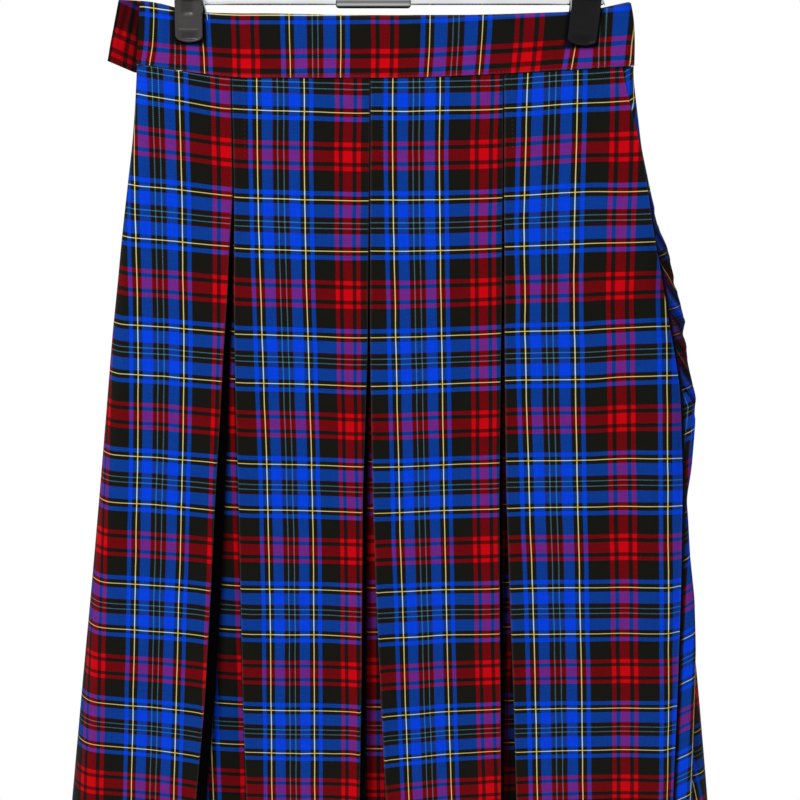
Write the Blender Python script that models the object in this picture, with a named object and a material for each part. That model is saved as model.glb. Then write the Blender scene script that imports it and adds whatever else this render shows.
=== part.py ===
"""A pleated tartan skirt that hangs flat from a clip hanger, at real size.

The origin is the inside top of the hanger's hook. +X is the wearer's left, to the right as the front is
seen, -Y is the skirt's front and +Z is up. Lengths below are in millimetres, and MM turns them into metres.
A cloth piece is a wall along a section, seen from above, that changes with the drop below the waist.
"""

import math

import bmesh
import bpy
import numpy as np
from mathutils import Matrix

MM = 0.001

# The hanger
BAR_BELOW_HOOK = 80.0
BAR_RADIUS = 2.5
BAR_LEFT, BAR_RIGHT = -140.0, 162.0
HOOK_WIRE = 3.6
HOOK_INSIDE_RADIUS = 19.0
BLOCK_SIZE = (52.8, 14.0, 12.2)
BLOCK_BELOW_BAR = 4.6
RUNNING_GAP = 0.3

# The clips
CLIP_CENTRES = {"left": -129.0, "right": 149.5}
CLIP_TILTS = {"left": 0.0, "right": 4.0}
CLIP_REACH = {"left": 19.6, "right": 21.0}
BACK_JAW_SHIFT = {"left": 0.8, "right": 0.0}
JAW_WIDTH = 21.4
JAW_THICK = 2.6
JAW_TOP = 20.0
JAW_FOOT_HEIGHT = 6.0
SLEEVE_RADIUS = 3.9
SLEEVE_LENGTH = 16.0
SPRING_WIDTH = 12.0
SPRING_THICK = 1.0

# The waistband
WAIST_BELOW_BAR = 8.4
BAND_HEIGHT = 43.6
BAND_THICK = 3.0
BAND_LEFT, BAND_RIGHT = -165.6, 183.5
TAB_END = -185.0
FRONT_LEAN, TAB_LEAN, RIGHT_LEAN = 4.0, 10.4, 4.2
BAND_PINCHED = 2.2
BAND_SLACK = 1.6
BAND_FLARE = 4.5

# The cloth
CLOTH = 1.3
FOLD = 1.0
SEAM_GAP = 0.3
SKIRT_TOP = 44.0
SKIRT_LENGTH = 720.0
INTAKE = 110.0
LAP = 28.0
BEHIND_LAP = 1.9
WAIST_Z = -BAR_BELOW_HOOK - WAIST_BELOW_BAR


def table(text):
    """Named columns of numbers, from a heading line and a line for each row."""
    lines = [line.split() for line in text.strip().splitlines()]
    values = np.array(lines[1:], float)
    return dict(zip(lines[0], values.T))


# Where the pleats' edges are across the front, by the drop below the waist. left is the side seam, a and b
# are the left and right edges of a pleat's opening, and edge is the free slanted edge of panel 4.
FRONT = table("""
drop  left    a1      b1      a2     b2    a3    b3     edge
44    -168.0  -101.4  -100.4  -2.9   -1.9  91.8  92.8   175.0
94    -173.0  -101.6  -100.4  -3.3   -2.1  92.2  93.6   189.0
130   -178.6  -102.1  -100.6  -3.8   -2.6  92.4  93.9   198.2
165   -184.0  -105.0  -101.5  -4.1   -2.9  92.7  94.5   205.7
202   -189.0  -107.3  -102.4  -4.5   -3.2  93.0  95.0   213.5
239   -194.4  -110.6  -102.8  -5.0   -3.2  93.0  95.6   220.1
277   -199.0  -113.3  -102.8  -6.3   -2.8  93.0  96.4   226.5
354   -208.6  -119.4  -102.4  -9.2   -1.5  93.2  98.5   230.2
434   -219.0  -125.0  -102.4  -10.0  0.8   94.6  102.3  232.6
517   -230.3  -131.6  -102.6  -11.2  4.3   96.5  106.5  233.2
603   -241.7  -141.2  -101.4  -12.8  8.1   97.9  110.0  233.1
720   -257.3  -153.4  -100.2  -15.0  13.8  98.8  115.6  233.3
""")

# The same edges across the back, in the same direction.
BACK = table("""
drop  left    a1      b1     a2     b2    a3    b3
44    -168.0  -92.0   -91.0  1.0    2.0   95.0  96.0
94    -173.0  -92.2   -91.0  0.9    2.1   95.0  96.3
130   -178.6  -92.6   -91.0  0.7    2.3   94.8  96.8
165   -184.0  -93.2   -91.2  0.2    2.6   94.8  97.8
202   -189.0  -94.2   -91.5  -0.6   3.2   94.7  99.2
239   -194.4  -95.2   -91.8  -1.5   4.0   94.8  100.6
277   -199.0  -96.4   -92.0  -2.6   5.1   95.0  102.2
354   -208.6  -98.4   -92.3  -4.8   7.6   95.4  105.6
434   -219.0  -100.4  -91.8  -7.0   10.6  96.0  109.6
517   -230.3  -102.4  -90.8  -9.0   13.6  97.0  114.0
603   -241.7  -104.4  -89.0  -11.2  17.2  98.0  119.0
720   -257.3  -107.2  -86.4  -13.8  21.6  99.0  126.0
""")

# depth is how far the front and back stand from the middle, round is how far in from the side the cloth
# turns, lift1 to lift3 are how far the pleats' free-hanging edges stand forward, and wrap and turn place the
# back's turn round the right side.
BODY = table("""
drop  depth  round  lift1  lift2  lift3  wrap   turn
44    6.5    9.0    0.0    0.0    0.0    1.3    183.0
94    7.8    10.0   0.0    0.0    0.0    0.8    190.6
130   9.0    11.0   0.3    0.0    0.0    0.0    199.0
165   10.4   12.0   1.2    0.2    0.2    -1.0   209.5
202   12.0   13.0   2.0    0.5    0.4    -2.0   220.0
239   14.0   14.0   2.8    0.8    0.6    -3.2   227.0
277   16.0   15.0   3.5    1.2    0.8    -4.5   235.0
354   19.0   16.0   4.5    2.5    1.2    -6.5   232.5
434   21.5   18.0   5.5    4.5    1.6    -8.0   242.0
517   24.0   20.0   6.5    6.5    2.0    -9.0   253.8
603   26.0   21.0   7.0    8.5    2.2    -10.0  264.7
720   28.0   23.0   7.5    10.0   2.5    -11.0  278.5
""")

# The underlays hang straight: how far each stands from the middle at the waist and at the hem.
UNDER_AT_WAIST = 2.5
UNDER_AT_HEM = {1: 12.0, 2: 17.0, 3: 12.0}

# The outer edge of the side panel, which is the skirt's right outline down to a drop of 475.
SIDE = table("""
drop  out
44    185.0
94    192.6
130   201.5
165   212.0
202   223.0
218   227.9
227   226.3
239   230.0
252   231.8
277   238.9
300   238.9
330   237.6
354   234.9
370   236.8
400   239.8
434   244.7
475   247.5
517   248.5
603   249.7
720   250.5
""")

# How far the waistband's top edge lies above its middle, along its length.
TOP_EDGE = table("""
x       lift
-195.0  10.6
-168.0  9.4
-158.0  8.7
-148.0  6.8
-139.0  4.2
-129.0  2.6
-116.0  1.0
-95.0   0.2
-2.0    -0.2
60.0    0.9
119.0   1.9
135.0   1.9
149.0   2.4
160.0   4.0
171.0   6.4
182.0   8.8
""")

CLOTH_ROWS = np.array([44, 94, 130, 165, 202, 239, 277, 354, 434, 517, 603, 660, 720], float)
PUCKER_FROM, PUCKER_TO, PUCKER_PITCH, PUCKER_DEPTH = 152.0, 286.0, 33.5, 2.2
PUCKER_ROWS = np.arange(PUCKER_FROM, PUCKER_TO, PUCKER_PITCH / 4)
SIDE_RISE = 8.0
SIDE_ROWS = np.unique(np.concatenate([CLOTH_ROWS, SIDE["drop"][1:-1] + SIDE_RISE, PUCKER_ROWS]))
SIDE_TURN = 5.0


def at(columns, name, drop):
    return np.interp(drop, columns["drop"], columns[name])


def smooth(value):
    value = np.clip(value, 0, 1)
    return value * value * (3 - 2 * value)


def raised(x, face="front"):
    """How far the skirt's top is held up above its middle, which sags between the clips.

    The back sags a little more at the left, and its tab leans up towards its end.
    """
    left = 9.5 * np.clip((-90 - x) / 75, 0, 1) ** 1.4
    right = 8.0 * np.clip((x - 20) / 162, 0, 1) ** 1.3
    if face == "back":
        left = left - 4.1 * smooth((-130 - x) / 38) + 0.26 * np.clip(-168 - x, 0, None)
    return left + right


def clear_scene():
    for old in list(bpy.data.objects):
        bpy.data.objects.remove(old)


def finish(name, colour, roughness, metallic=0.0):
    material = bpy.data.materials.new(name)
    material.use_nodes = True
    shader = material.node_tree.nodes["Principled BSDF"]
    shader.inputs["Base Color"].default_value = (*colour, 1)
    shader.inputs["Roughness"].default_value = roughness
    shader.inputs["Metallic"].default_value = metallic
    return material


def add_mesh(name, points, faces, material, sharp=40):
    """An object from points in millimetres and faces, with its normals outwards."""
    mesh = bpy.data.meshes.new(name)
    mesh.from_pydata((np.asarray(points) * MM).tolist(), [], faces)
    shape = bmesh.new()
    shape.from_mesh(mesh)
    bmesh.ops.recalc_face_normals(shape, faces=shape.faces)
    shape.to_mesh(mesh)
    shape.free()
    mesh.shade_smooth()
    mesh.set_sharp_from_angle(angle=math.radians(sharp))
    mesh.materials.append(material)
    piece = bpy.data.objects.new(name, mesh)
    bpy.context.collection.objects.link(piece)
    return piece


def add_wall(name, centre, outward, thick, material, sharp=40):
    """A closed wall: a grid of points moved half the thickness each way along its outward directions."""
    steps, rows = centre.shape[:2]
    half = outward * thick / 2
    points = np.concatenate([(centre + half).reshape(-1, 3), (centre - half).reshape(-1, 3)])
    outer = np.arange(steps * rows).reshape(steps, rows)
    inner = outer + steps * rows
    faces = []
    for i in range(steps - 1):
        for j in range(rows - 1):
            ring = [(i, j), (i, j + 1), (i + 1, j + 1), (i + 1, j)]
            faces.append([int(outer[corner]) for corner in ring])
            faces.append([int(inner[corner]) for corner in reversed(ring)])
    last_step, last_row = steps - 1, rows - 1
    rim = [(i, 0) for i in range(steps)] + [(last_step, j) for j in range(1, rows)]
    rim += [(i, last_row) for i in range(last_step - 1, -1, -1)]
    rim += [(0, j) for j in range(last_row - 1, 0, -1)]
    for here, there in zip(rim, rim[1:] + rim[:1]):
        faces.append([int(outer[here]), int(outer[there]), int(inner[there]), int(inner[here])])
    return add_mesh(name, points, faces, material, sharp)


# Stations: the points of a section. Each is (x, y, outward x, outward y), and each value may be an array
# with one entry for each row down the cloth.


def fold_left(x, y):
    """The turn at a panel's left edge, from the layer behind it to the panel itself."""
    inside = x + CLOTH / 2
    return [
        (inside + FOLD, y + 2 * FOLD, 0, 1),
        (inside, y + FOLD, -1, 0),
        (inside + FOLD, y, 0, -1),
    ]


def fold_right(x, y):
    """The turn at a panel's right edge, from the panel to the layer behind it."""
    return [(2 * x - px, py, -nx, ny) for px, py, nx, ny in reversed(fold_left(x, y))]


def side_turn(x, depth, round_by):
    """A quarter of an ellipse from the side seam, at the middle, to the front."""
    stations = []
    for angle in np.radians([0, 22, 44, 66]):
        across, along = np.cos(angle) / round_by, np.sin(angle) / depth
        size = np.hypot(across, along)
        px = x + CLOTH / 2 + round_by * (1 - np.cos(angle))
        py = -SEAM_GAP / 2 - (depth - SEAM_GAP / 2) * np.sin(angle)
        stations.append((px, py, -across / size, -along / size))
    return stations


def flat_run(start, end, y_of, shares):
    """Stations across a panel, at shares of the way from start to end."""
    places = [start + (end - start) * share for share in shares]
    return [(x, y_of(x), 0, -1) for x in places]


def to_grid(stations, drop, face="front"):
    """Points and outward directions of a section over every row, with each step's own rise at the waist."""
    ones = np.ones_like(drop)
    centre = []
    outward = []
    for x, y, nx, ny in stations:
        x = x * ones
        centre.append(np.stack([x, y * ones, WAIST_Z - drop + raised(x[0], face)], axis=-1))
        outward.append(np.stack([nx * ones, ny * ones, 0 * ones], axis=-1))
    return np.array(centre), np.array(outward)


def to_back(stations):
    """The same section on the back: mirrored front to back, and run the other way."""
    return [(x, -y, nx, -ny) for x, y, nx, ny in reversed(stations)]


def pleat(columns, number, drop):
    """One inverted pleat: its edges, how far its turned-back cloth reaches, and where its underlay hangs."""
    left, right = at(columns, f"a{number}", drop), at(columns, f"b{number}", drop)
    reach = (INTAKE - (right - left)) / 4
    fallen = (drop - SKIRT_TOP) / (SKIRT_LENGTH - SKIRT_TOP)
    under = -UNDER_AT_WAIST - (UNDER_AT_HEM[number] - UNDER_AT_WAIST) * fallen
    return left, right, reach, under


def panel_depth(lift_left, left, lift_right, right, drop):
    """Depth across a panel, whose edges stand forward by their lifts and fade towards its middle."""
    fade = 24.0

    def depth_at(x):
        forward = lift_left * np.exp(-np.abs(x - left) / fade)
        forward = forward + lift_right * np.exp(-np.abs(right - x) / fade)
        return -at(BODY, "depth", drop) - forward

    return depth_at


def turned_back(edge, side, reach, under):
    """The free end of the cloth that is turned back at a pleat's edge, sewn to the underlay behind it."""
    return (edge + side * reach, under - CLOTH - SEAM_GAP, 0, 1)


def panel_sections(columns, drop):
    """The sections of panels 1 to 4 of one face, from left to right, without panel 4's outer end."""
    pleats = [pleat(columns, number, drop) for number in (1, 2, 3)]
    lifts = [at(BODY, f"lift{number}", drop) for number in (1, 2, 3)]
    shares = (0.14, 0.32, 0.5, 0.68, 0.86)
    sections = []
    for number in range(4):
        stations = []
        left = at(columns, "left", drop)
        left_lift = right_lift = 0.0
        if number > 0:
            _, left, left_reach, left_under = pleats[number - 1]
            left_lift = lifts[number - 1] * (1.0 if number == 2 else 0.3)
        right = at(BODY, "turn", drop)
        if number < 3:
            right, _, right_reach, right_under = pleats[number]
            right_lift = lifts[number] * (1.0 if number == 0 else 0.3)
        depth_at = panel_depth(left_lift, left, right_lift, right, drop)
        if number == 0:
            round_by = at(BODY, "round", drop)
            stations += side_turn(left, at(BODY, "depth", drop), round_by)
            start = left + CLOTH / 2 + round_by
        else:
            stations.append(turned_back(left, 1, left_reach, left_under))
            stations += fold_left(left, depth_at(left))
            start = left
        if number < 3:
            stations += flat_run(start, right, depth_at, shares)
            stations += fold_right(right, depth_at(right))
            stations.append(turned_back(right, -1, right_reach, right_under))
        sections.append(stations)
    return sections


def add_panels(face, columns, material):
    """Panels 1 to 3 and the underlays 1 to 3 of the front or the back."""
    drop = CLOTH_ROWS
    turn = to_back if face == "back" else list
    sections = panel_sections(columns, drop)
    for number in (1, 2, 3):
        grid = to_grid(turn(sections[number - 1]), drop, face)
        add_wall(f"{face}_panel_{number}", *grid, CLOTH, material)
        left, right, reach, under = pleat(columns, number, drop)
        shares = (0.0, 0.25, 0.5, 0.75, 1.0)
        stations = flat_run(left - reach, right + reach, lambda x: under, shares)
        add_wall(f"{face}_underlay_{number}", *to_grid(turn(stations), drop, face), CLOTH, material)
    return sections[3]


def add_front_edge_panel(stations, material):
    """Panel 4 of the front, which ends in a free edge over the side panel."""
    drop = CLOTH_ROWS
    left, edge = at(FRONT, "b3", drop), at(FRONT, "edge", drop)
    depth_at = panel_depth(0.3 * at(BODY, "lift3", drop), left, 0.0, edge, drop)
    stations = stations + flat_run(left, edge, depth_at, (0.14, 0.36, 0.58, 0.8, 1.0))
    add_wall("front_panel_4", *to_grid(stations, drop), CLOTH, material)


def add_side_panel(material):
    """The strip behind panel 4's edge, puckered over the hip and turned back at the side."""
    drop = SIDE_ROWS
    edge, out = at(FRONT, "edge", drop), at(SIDE, "out", drop - SIDE_RISE)
    behind = BEHIND_LAP - at(BODY, "depth", drop)
    inside = (drop > PUCKER_FROM) & (drop < PUCKER_TO)
    height = PUCKER_DEPTH * inside * np.clip((out - edge - 5) / 4, 0, 1)
    wave = height * np.sin(2 * np.pi * (drop - PUCKER_FROM) / PUCKER_PITCH)
    flat_end = out - CLOTH / 2 - SIDE_TURN
    stations = [(edge - LAP, behind, 0, -1), (edge - 1, behind, 0, -1)]
    for share in (0.5, 1.0):
        x = edge + (flat_end - edge) * share
        stations.append((x, behind + wave * share, 0, -1))
    for angle in np.radians([30, 55, 80]):
        x = flat_end + SIDE_TURN * np.sin(angle)
        y = behind + wave + SIDE_TURN * (1 - np.cos(angle))
        stations.append((x, y, np.sin(angle), -np.cos(angle)))
    add_wall("side_panel", *to_grid(stations, drop), CLOTH, material)


def add_back_wrap_panel(stations, material):
    """Panel 4 of the back, which wraps round the right side and ends behind the side panel."""
    drop = CLOTH_ROWS
    depth, front_y = at(BODY, "depth", drop), at(BODY, "wrap", drop)
    out, inner = at(BODY, "turn", drop), at(FRONT, "edge", drop)
    middle, half = (front_y + depth) / 2, (depth - front_y) / 2
    round_by = np.minimum(at(BODY, "round", drop), 2.2 * half)
    centre_x = out - CLOTH / 2 - round_by
    wrap = [(inner - LAP, front_y, 0, -1)]
    for angle in np.radians([-90, -62, -34, 0, 34, 62, 90]):
        across, along = np.cos(angle) / round_by, np.sin(angle) / half
        size = np.hypot(across, along)
        x, y = centre_x + round_by * np.cos(angle), middle + half * np.sin(angle)
        wrap.append((x, y, across / size, along / size))
    left = at(BACK, "b3", drop)
    depth_at = panel_depth(0.3 * at(BODY, "lift3", drop), left, 0.0, out, drop)
    across = to_back(flat_run(left, centre_x, depth_at, (0.14, 0.4, 0.65, 0.85)))
    add_wall("back_panel_4", *to_grid(wrap + across + to_back(stations), drop), CLOTH, material)


def band_depth(x, share):
    """Depth of the band's middle: pinched at the clips, slacker between them, flaring to the skirt."""
    away = np.min([np.abs(x - centre) for centre in CLIP_CENTRES.values()], axis=0)
    slack = BAND_SLACK * smooth((away - 14) / 25)
    flare = smooth((share - 0.62) / 0.38)
    return BAND_PINCHED + slack * (1 - flare) + BAND_FLARE * flare


def band_grid(x, face, lean):
    """Half of the waistband as a grid over x, turned at its right end to meet the other half."""
    share = np.linspace(0, 1, 7)
    x, share = np.meshgrid(x, share, indexing="ij")
    round_by = 5.0
    past = np.clip((x - (BAND_RIGHT - BAND_THICK / 2 - round_by)) / round_by, 0, 1)
    angle = past * np.pi / 2
    depth = band_depth(x, share)
    y = -SEAM_GAP / 2 - (depth - SEAM_GAP / 2) * np.cos(angle)
    flat_x = np.minimum(x, BAND_RIGHT - BAND_THICK / 2 - round_by)
    px = flat_x + round_by * np.sin(angle)
    px = px + lean * (0.5 - share) * smooth((-140 - x) / 25)
    px = px - RIGHT_LEAN * (1 - share) ** 2 * smooth((x - 160) / 20)
    top = np.interp(px, TOP_EDGE["x"], TOP_EDGE["lift"])
    z = WAIST_Z + top * (1 - share) + (raised(px, face) - BAND_HEIGHT) * share
    centre = np.stack([px, y, z], axis=-1)
    outward = np.stack([np.sin(angle), -np.cos(angle), 0 * angle], axis=-1)
    return centre, outward


def add_waistband(material):
    """The front and back halves, which meet at the right. The back's left end is the underlap tab."""
    turn = np.linspace(BAND_RIGHT - BAND_THICK / 2 - 5.0, BAND_RIGHT - BAND_THICK / 2, 4)
    front_x = np.concatenate([np.linspace(BAND_LEFT, turn[0], 30)[:-1], turn])
    back_x = np.concatenate([np.linspace(TAB_END, turn[0], 32)[:-1], turn])
    centre, outward = band_grid(front_x, "front", FRONT_LEAN)
    add_wall("waistband_front", centre, outward, BAND_THICK, material)
    centre, outward = band_grid(back_x, "back", TAB_LEAN)
    centre[..., 1] *= -1
    outward[..., 1] *= -1
    add_wall("waistband_back", centre[::-1], outward[::-1], BAND_THICK, material)


def add_hook(material):
    """A wire of round section: up from the block, out to one side, and over the rail in an open ring."""
    ring = HOOK_INSIDE_RADIUS + HOOK_WIRE / 2
    centre_z = -HOOK_INSIDE_RADIUS
    foot = -BAR_BELOW_HOOK - BLOCK_BELOW_BAR + BLOCK_SIZE[2] + RUNNING_GAP
    arc = [(ring * math.cos(a), centre_z + ring * math.sin(a)) for a in np.radians(range(-40, 206, 9))]
    start, knee = np.array([0.0, foot]), np.array([0.0, foot + 12.0])
    join = np.array(arc[0])
    heading = np.array([math.sin(math.radians(40)), math.cos(math.radians(40))])
    stem = [start, (start + knee) / 2]
    for share in np.linspace(0, 1, 9)[:-1]:
        rest = 1 - share
        near, far = knee + np.array([0, 13.0]), join - heading * 10.0
        stem.append(rest**3 * knee + 3 * rest**2 * share * near + 3 * rest * share**2 * far + share**3 * join)
    route = [tuple(point) for point in stem] + arc
    wire = bpy.data.curves.new("hanger_hook", "CURVE")
    wire.dimensions = "3D"
    wire.bevel_depth = HOOK_WIRE / 2 * MM
    wire.bevel_resolution = 3
    wire.use_fill_caps = True
    spline = wire.splines.new("POLY")
    spline.points.add(len(route) - 1)
    for point, (x, z) in zip(spline.points, route):
        point.co = (x * MM, 0, z * MM, 1)
    wire.materials.append(material)
    hook = bpy.data.objects.new("hanger_hook", wire)
    bpy.context.collection.objects.link(hook)


def add_turned(name, profile, x, y, z, material, sides=24):
    """A ring turned round a line along X. The profile is a closed loop of (along, radius)."""
    angles = np.linspace(0, 2 * np.pi, sides, endpoint=False)
    count = len(profile)
    points = [(x + a, y + r * math.cos(t), z + r * math.sin(t)) for t in angles for a, r in profile]
    faces = []
    for side in range(sides):
        after = (side + 1) % sides
        for n in range(count):
            m = (n + 1) % count
            faces.append([side * count + n, side * count + m, after * count + m, after * count + n])
    return add_mesh(name, points, faces, material)


def add_bar(material):
    """A plain round bar with rounded ends, through the block and both clips."""
    angles = np.linspace(0, 2 * np.pi, 24, endpoint=False)
    rings = [(BAR_LEFT, 1.8), (BAR_LEFT + 0.7, BAR_RADIUS), (BAR_RIGHT - 0.7, BAR_RADIUS), (BAR_RIGHT, 1.8)]
    points = [(x, r * math.cos(t), r * math.sin(t) - BAR_BELOW_HOOK) for x, r in rings for t in angles]
    faces = [list(range(24)), list(range(72, 96))]
    for ring in range(3):
        for side in range(24):
            after = (side + 1) % 24
            here, there = ring * 24, ring * 24 + 24
            faces.append([here + side, here + after, there + after, there + side])
    return add_mesh("hanger_bar", points, faces, material)


def add_block(material):
    """The block that carries the hook, with rounded edges and a bore for the bar."""
    size = BLOCK_SIZE
    bpy.ops.mesh.primitive_cube_add(size=1)
    block = bpy.context.object
    block.name = "hanger_block"
    block.data.transform(Matrix.Diagonal((size[0] * MM, size[1] * MM, size[2] * MM, 1)))
    block.location = (0, 0, (-BAR_BELOW_HOOK - BLOCK_BELOW_BAR + size[2] / 2) * MM)
    block.data.materials.append(material)
    edges = block.modifiers.new("rounded edges", "BEVEL")
    edges.width = 2.2 * MM
    edges.segments = 3
    bpy.ops.mesh.primitive_cylinder_add(
        vertices=24, radius=(BAR_RADIUS + RUNNING_GAP) * MM, depth=2 * size[0] * MM,
        location=(0, 0, -BAR_BELOW_HOOK * MM), rotation=(0, math.pi / 2, 0),
    )
    bore = bpy.context.object
    bore.name = "bar_bore_cutter"
    bore.hide_render = True
    bore.display_type = "WIRE"
    cut = block.modifiers.new("bore", "BOOLEAN")
    cut.object = bore
    block.data.shade_smooth()
    block.data.set_sharp_from_angle(angle=math.radians(35))


def jaw_grid(side):
    """A jaw's middle surface: level across, pinching the band at its foot and leaning out to its top."""
    reach = CLIP_REACH[side]
    heights = np.array([0, 0.6, 2.0, 4.0, JAW_FOOT_HEIGHT, 13.0, reach, reach + 8.4, reach + JAW_TOP])
    pinch = BAND_PINCHED + BAND_THICK / 2 + RUNNING_GAP + JAW_THICK / 2
    sleeve = SLEEVE_RADIUS + RUNNING_GAP + JAW_THICK / 2
    depth = np.interp(heights, [0, reach, reach + 8.4, reach + JAW_TOP], [pinch, pinch + 0.3, sleeve, sleeve + 1.2])
    rise = np.clip(1 - heights / JAW_FOOT_HEIGHT, 0, 1)
    half_width = JAW_WIDTH / 2 * (0.45 + 0.55 * np.sqrt(1 - rise**2.0))
    across, row = np.meshgrid(np.linspace(-1, 1, 7), np.arange(len(heights)), indexing="ij")
    centre = np.stack([across * half_width[row], -depth[row], WAIST_Z - reach + heights[row]], axis=-1)
    outward = np.zeros_like(centre)
    outward[..., 1] = -1
    return centre, outward


def tilted(points, side, shift=0.0):
    """Points of a clip turned about its bar in the clip's own plane, and put in place along the bar."""
    angle = math.radians(CLIP_TILTS[side])
    x, z = points[..., 0] + shift, points[..., 2] + BAR_BELOW_HOOK
    turned = points.copy()
    turned[..., 0] = CLIP_CENTRES[side] + x * math.cos(angle) + z * math.sin(angle)
    turned[..., 2] = z * math.cos(angle) - x * math.sin(angle) - BAR_BELOW_HOOK
    return turned


def add_clip(side, jaw_material, steel):
    """Two jaws that pinch the waistband, a sleeve on the bar between them, and a spring over both."""
    centre, outward = jaw_grid(side)
    add_wall(f"clip_{side}_jaw_front", tilted(centre, side), outward, JAW_THICK, jaw_material)
    back = centre.copy()
    back[..., 1] *= -1
    back_points = tilted(back, side, BACK_JAW_SHIFT[side])
    add_wall(f"clip_{side}_jaw_back", back_points[::-1], -outward[::-1], JAW_THICK, jaw_material)
    bore, half = BAR_RADIUS + RUNNING_GAP, SLEEVE_LENGTH / 2
    loop = [(-half, bore), (half, bore), (half, SLEEVE_RADIUS), (-half, SLEEVE_RADIUS)]
    add_turned(f"clip_{side}_sleeve", loop, CLIP_CENTRES[side], 0, -BAR_BELOW_HOOK, jaw_material)
    outside = centre[0, -2:, 1].min() - JAW_THICK / 2 - RUNNING_GAP - SPRING_THICK / 2
    radius = -outside
    arch_z = centre[0, -1, 2] + 1.0
    route = [(-radius, arch_z - 10.0)]
    route += [(-radius * math.cos(a), arch_z + radius * math.sin(a)) for a in np.linspace(0, math.pi, 13)]
    route += [(radius, arch_z - 10.0)]
    facing = [(-1, 0)] + [(-math.cos(a), math.sin(a)) for a in np.linspace(0, math.pi, 13)] + [(1, 0)]
    ends = (-SPRING_WIDTH / 2, SPRING_WIDTH / 2)
    points = np.array([[(x, y, z) for x in ends] for y, z in route])
    out = np.array([[(0, ny, nz) for _ in ends] for ny, nz in facing])
    add_wall(f"clip_{side}_spring", tilted(points, side), out, SPRING_THICK, steel)


def main():
    clear_scene()
    plaid = finish("tartan cloth", (0.02, 0.05, 0.32), 0.85)
    plaid_back = finish("tartan cloth, back", (0.02, 0.04, 0.24), 0.85)
    band = finish("waistband cloth", (0.05, 0.03, 0.2), 0.85)
    chrome = finish("chromed steel", (0.82, 0.83, 0.85), 0.18, 1.0)
    spring = finish("spring steel", (0.55, 0.56, 0.58), 0.3, 1.0)
    jaws = {
        "left": finish("dark grey plastic", (0.09, 0.09, 0.09), 0.4),
        "right": finish("black plastic", (0.02, 0.02, 0.022), 0.4),
    }
    fourth_front = add_panels("front", FRONT, plaid)
    add_front_edge_panel(fourth_front, plaid)
    add_side_panel(plaid)
    fourth_back = add_panels("back", BACK, plaid_back)
    add_back_wrap_panel(fourth_back, plaid_back)
    add_waistband(band)
    add_hook(chrome)
    add_bar(chrome)
    add_block(chrome)
    for side, material in jaws.items():
        add_clip(side, material, spring)


main()
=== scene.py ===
"""The looks of a pleated tartan skirt on a clip hanger.

The cloth pieces are surfaces over a section, seen from above, that changes with the drop below the waist.
Lengths are in millimetres and MM turns them into metres. +X is to the right as the front is seen, -Y is the
front and +Z is up, and the origin is the inside top of the hanger's hook.
"""

import math

import bpy
import numpy as np
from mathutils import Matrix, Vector


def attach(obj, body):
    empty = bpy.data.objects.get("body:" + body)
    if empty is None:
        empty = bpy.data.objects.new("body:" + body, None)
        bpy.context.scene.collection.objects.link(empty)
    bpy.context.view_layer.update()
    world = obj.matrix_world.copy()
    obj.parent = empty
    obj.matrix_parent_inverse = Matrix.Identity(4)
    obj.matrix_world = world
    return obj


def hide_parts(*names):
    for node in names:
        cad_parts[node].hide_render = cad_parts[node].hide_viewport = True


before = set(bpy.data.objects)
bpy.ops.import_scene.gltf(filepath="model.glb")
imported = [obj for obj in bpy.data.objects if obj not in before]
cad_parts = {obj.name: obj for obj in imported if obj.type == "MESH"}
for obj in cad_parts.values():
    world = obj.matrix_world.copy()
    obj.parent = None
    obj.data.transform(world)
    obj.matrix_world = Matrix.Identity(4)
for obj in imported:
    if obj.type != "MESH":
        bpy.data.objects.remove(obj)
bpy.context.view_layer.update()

MM = 0.001

# The hanger. The block's light and dark bands are painted reflections, darkest at its underside: how far
# each is below the hook's inside top, and its shade.
BAR_BELOW_HOOK = 80.0
RUNNING_GAP = 0.3
BLOCK_REFLECTION_BANDS = [(72.4, 0.6), (78.6, 0.42), (80.2, 0.13), (82.2, 0.55), (83.1, 0.04), (84.7, 0.02)]

# The clips. Each jaw's half width, how far it reaches down over the waistband, how far it is shifted along
# the bar and its tilt in degrees are as the photo shows them.
CLIP_CENTRES = {"left": -129.0, "right": 149.5}
JAW_HALF = {"left": 9.7, "right": 10.4}
JAW_REACH = {"left": 19.4, "right": 21.8}
JAW_SHIFT = {"left": -0.6, "right": 0.0}
JAW_TILT = {"left": 0.6, "right": 5.6}
BACK_JAW_SHIFT = {"left": 0.8, "right": 0.0}
JAW_WIDTH = 21.4
JAW_THICK = 2.6
JAW_TOP = 20.0
JAW_CORNER = 2.4
JAW_SAG = 2.6
JAW_BEVEL = 0.9
SLEEVE_RADIUS = 3.9
SLEEVE_ABOVE_REACH = 8.4
WIRE_RADIUS = 0.45

# A jaw's face: how deep its sunk middle is and how far in from the rim it starts, and for its dished lip, the
# thin ridge over it and its finger groove how deep or high each is, where above the foot, and how wide.
SUNK, SUNK_FROM = 0.28, 1.5
LIP, LIP_ABOVE, LIP_HALF = 0.9, 4.4, 2.5
RIDGE, RIDGE_ABOVE, RIDGE_HALF = 0.30, 8.4, 0.8
GROOVE, GROOVE_ABOVE, GROOVE_RUN = 0.8, 17.5, 4.0
RIGHT_GROOVE = 0.35

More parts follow.
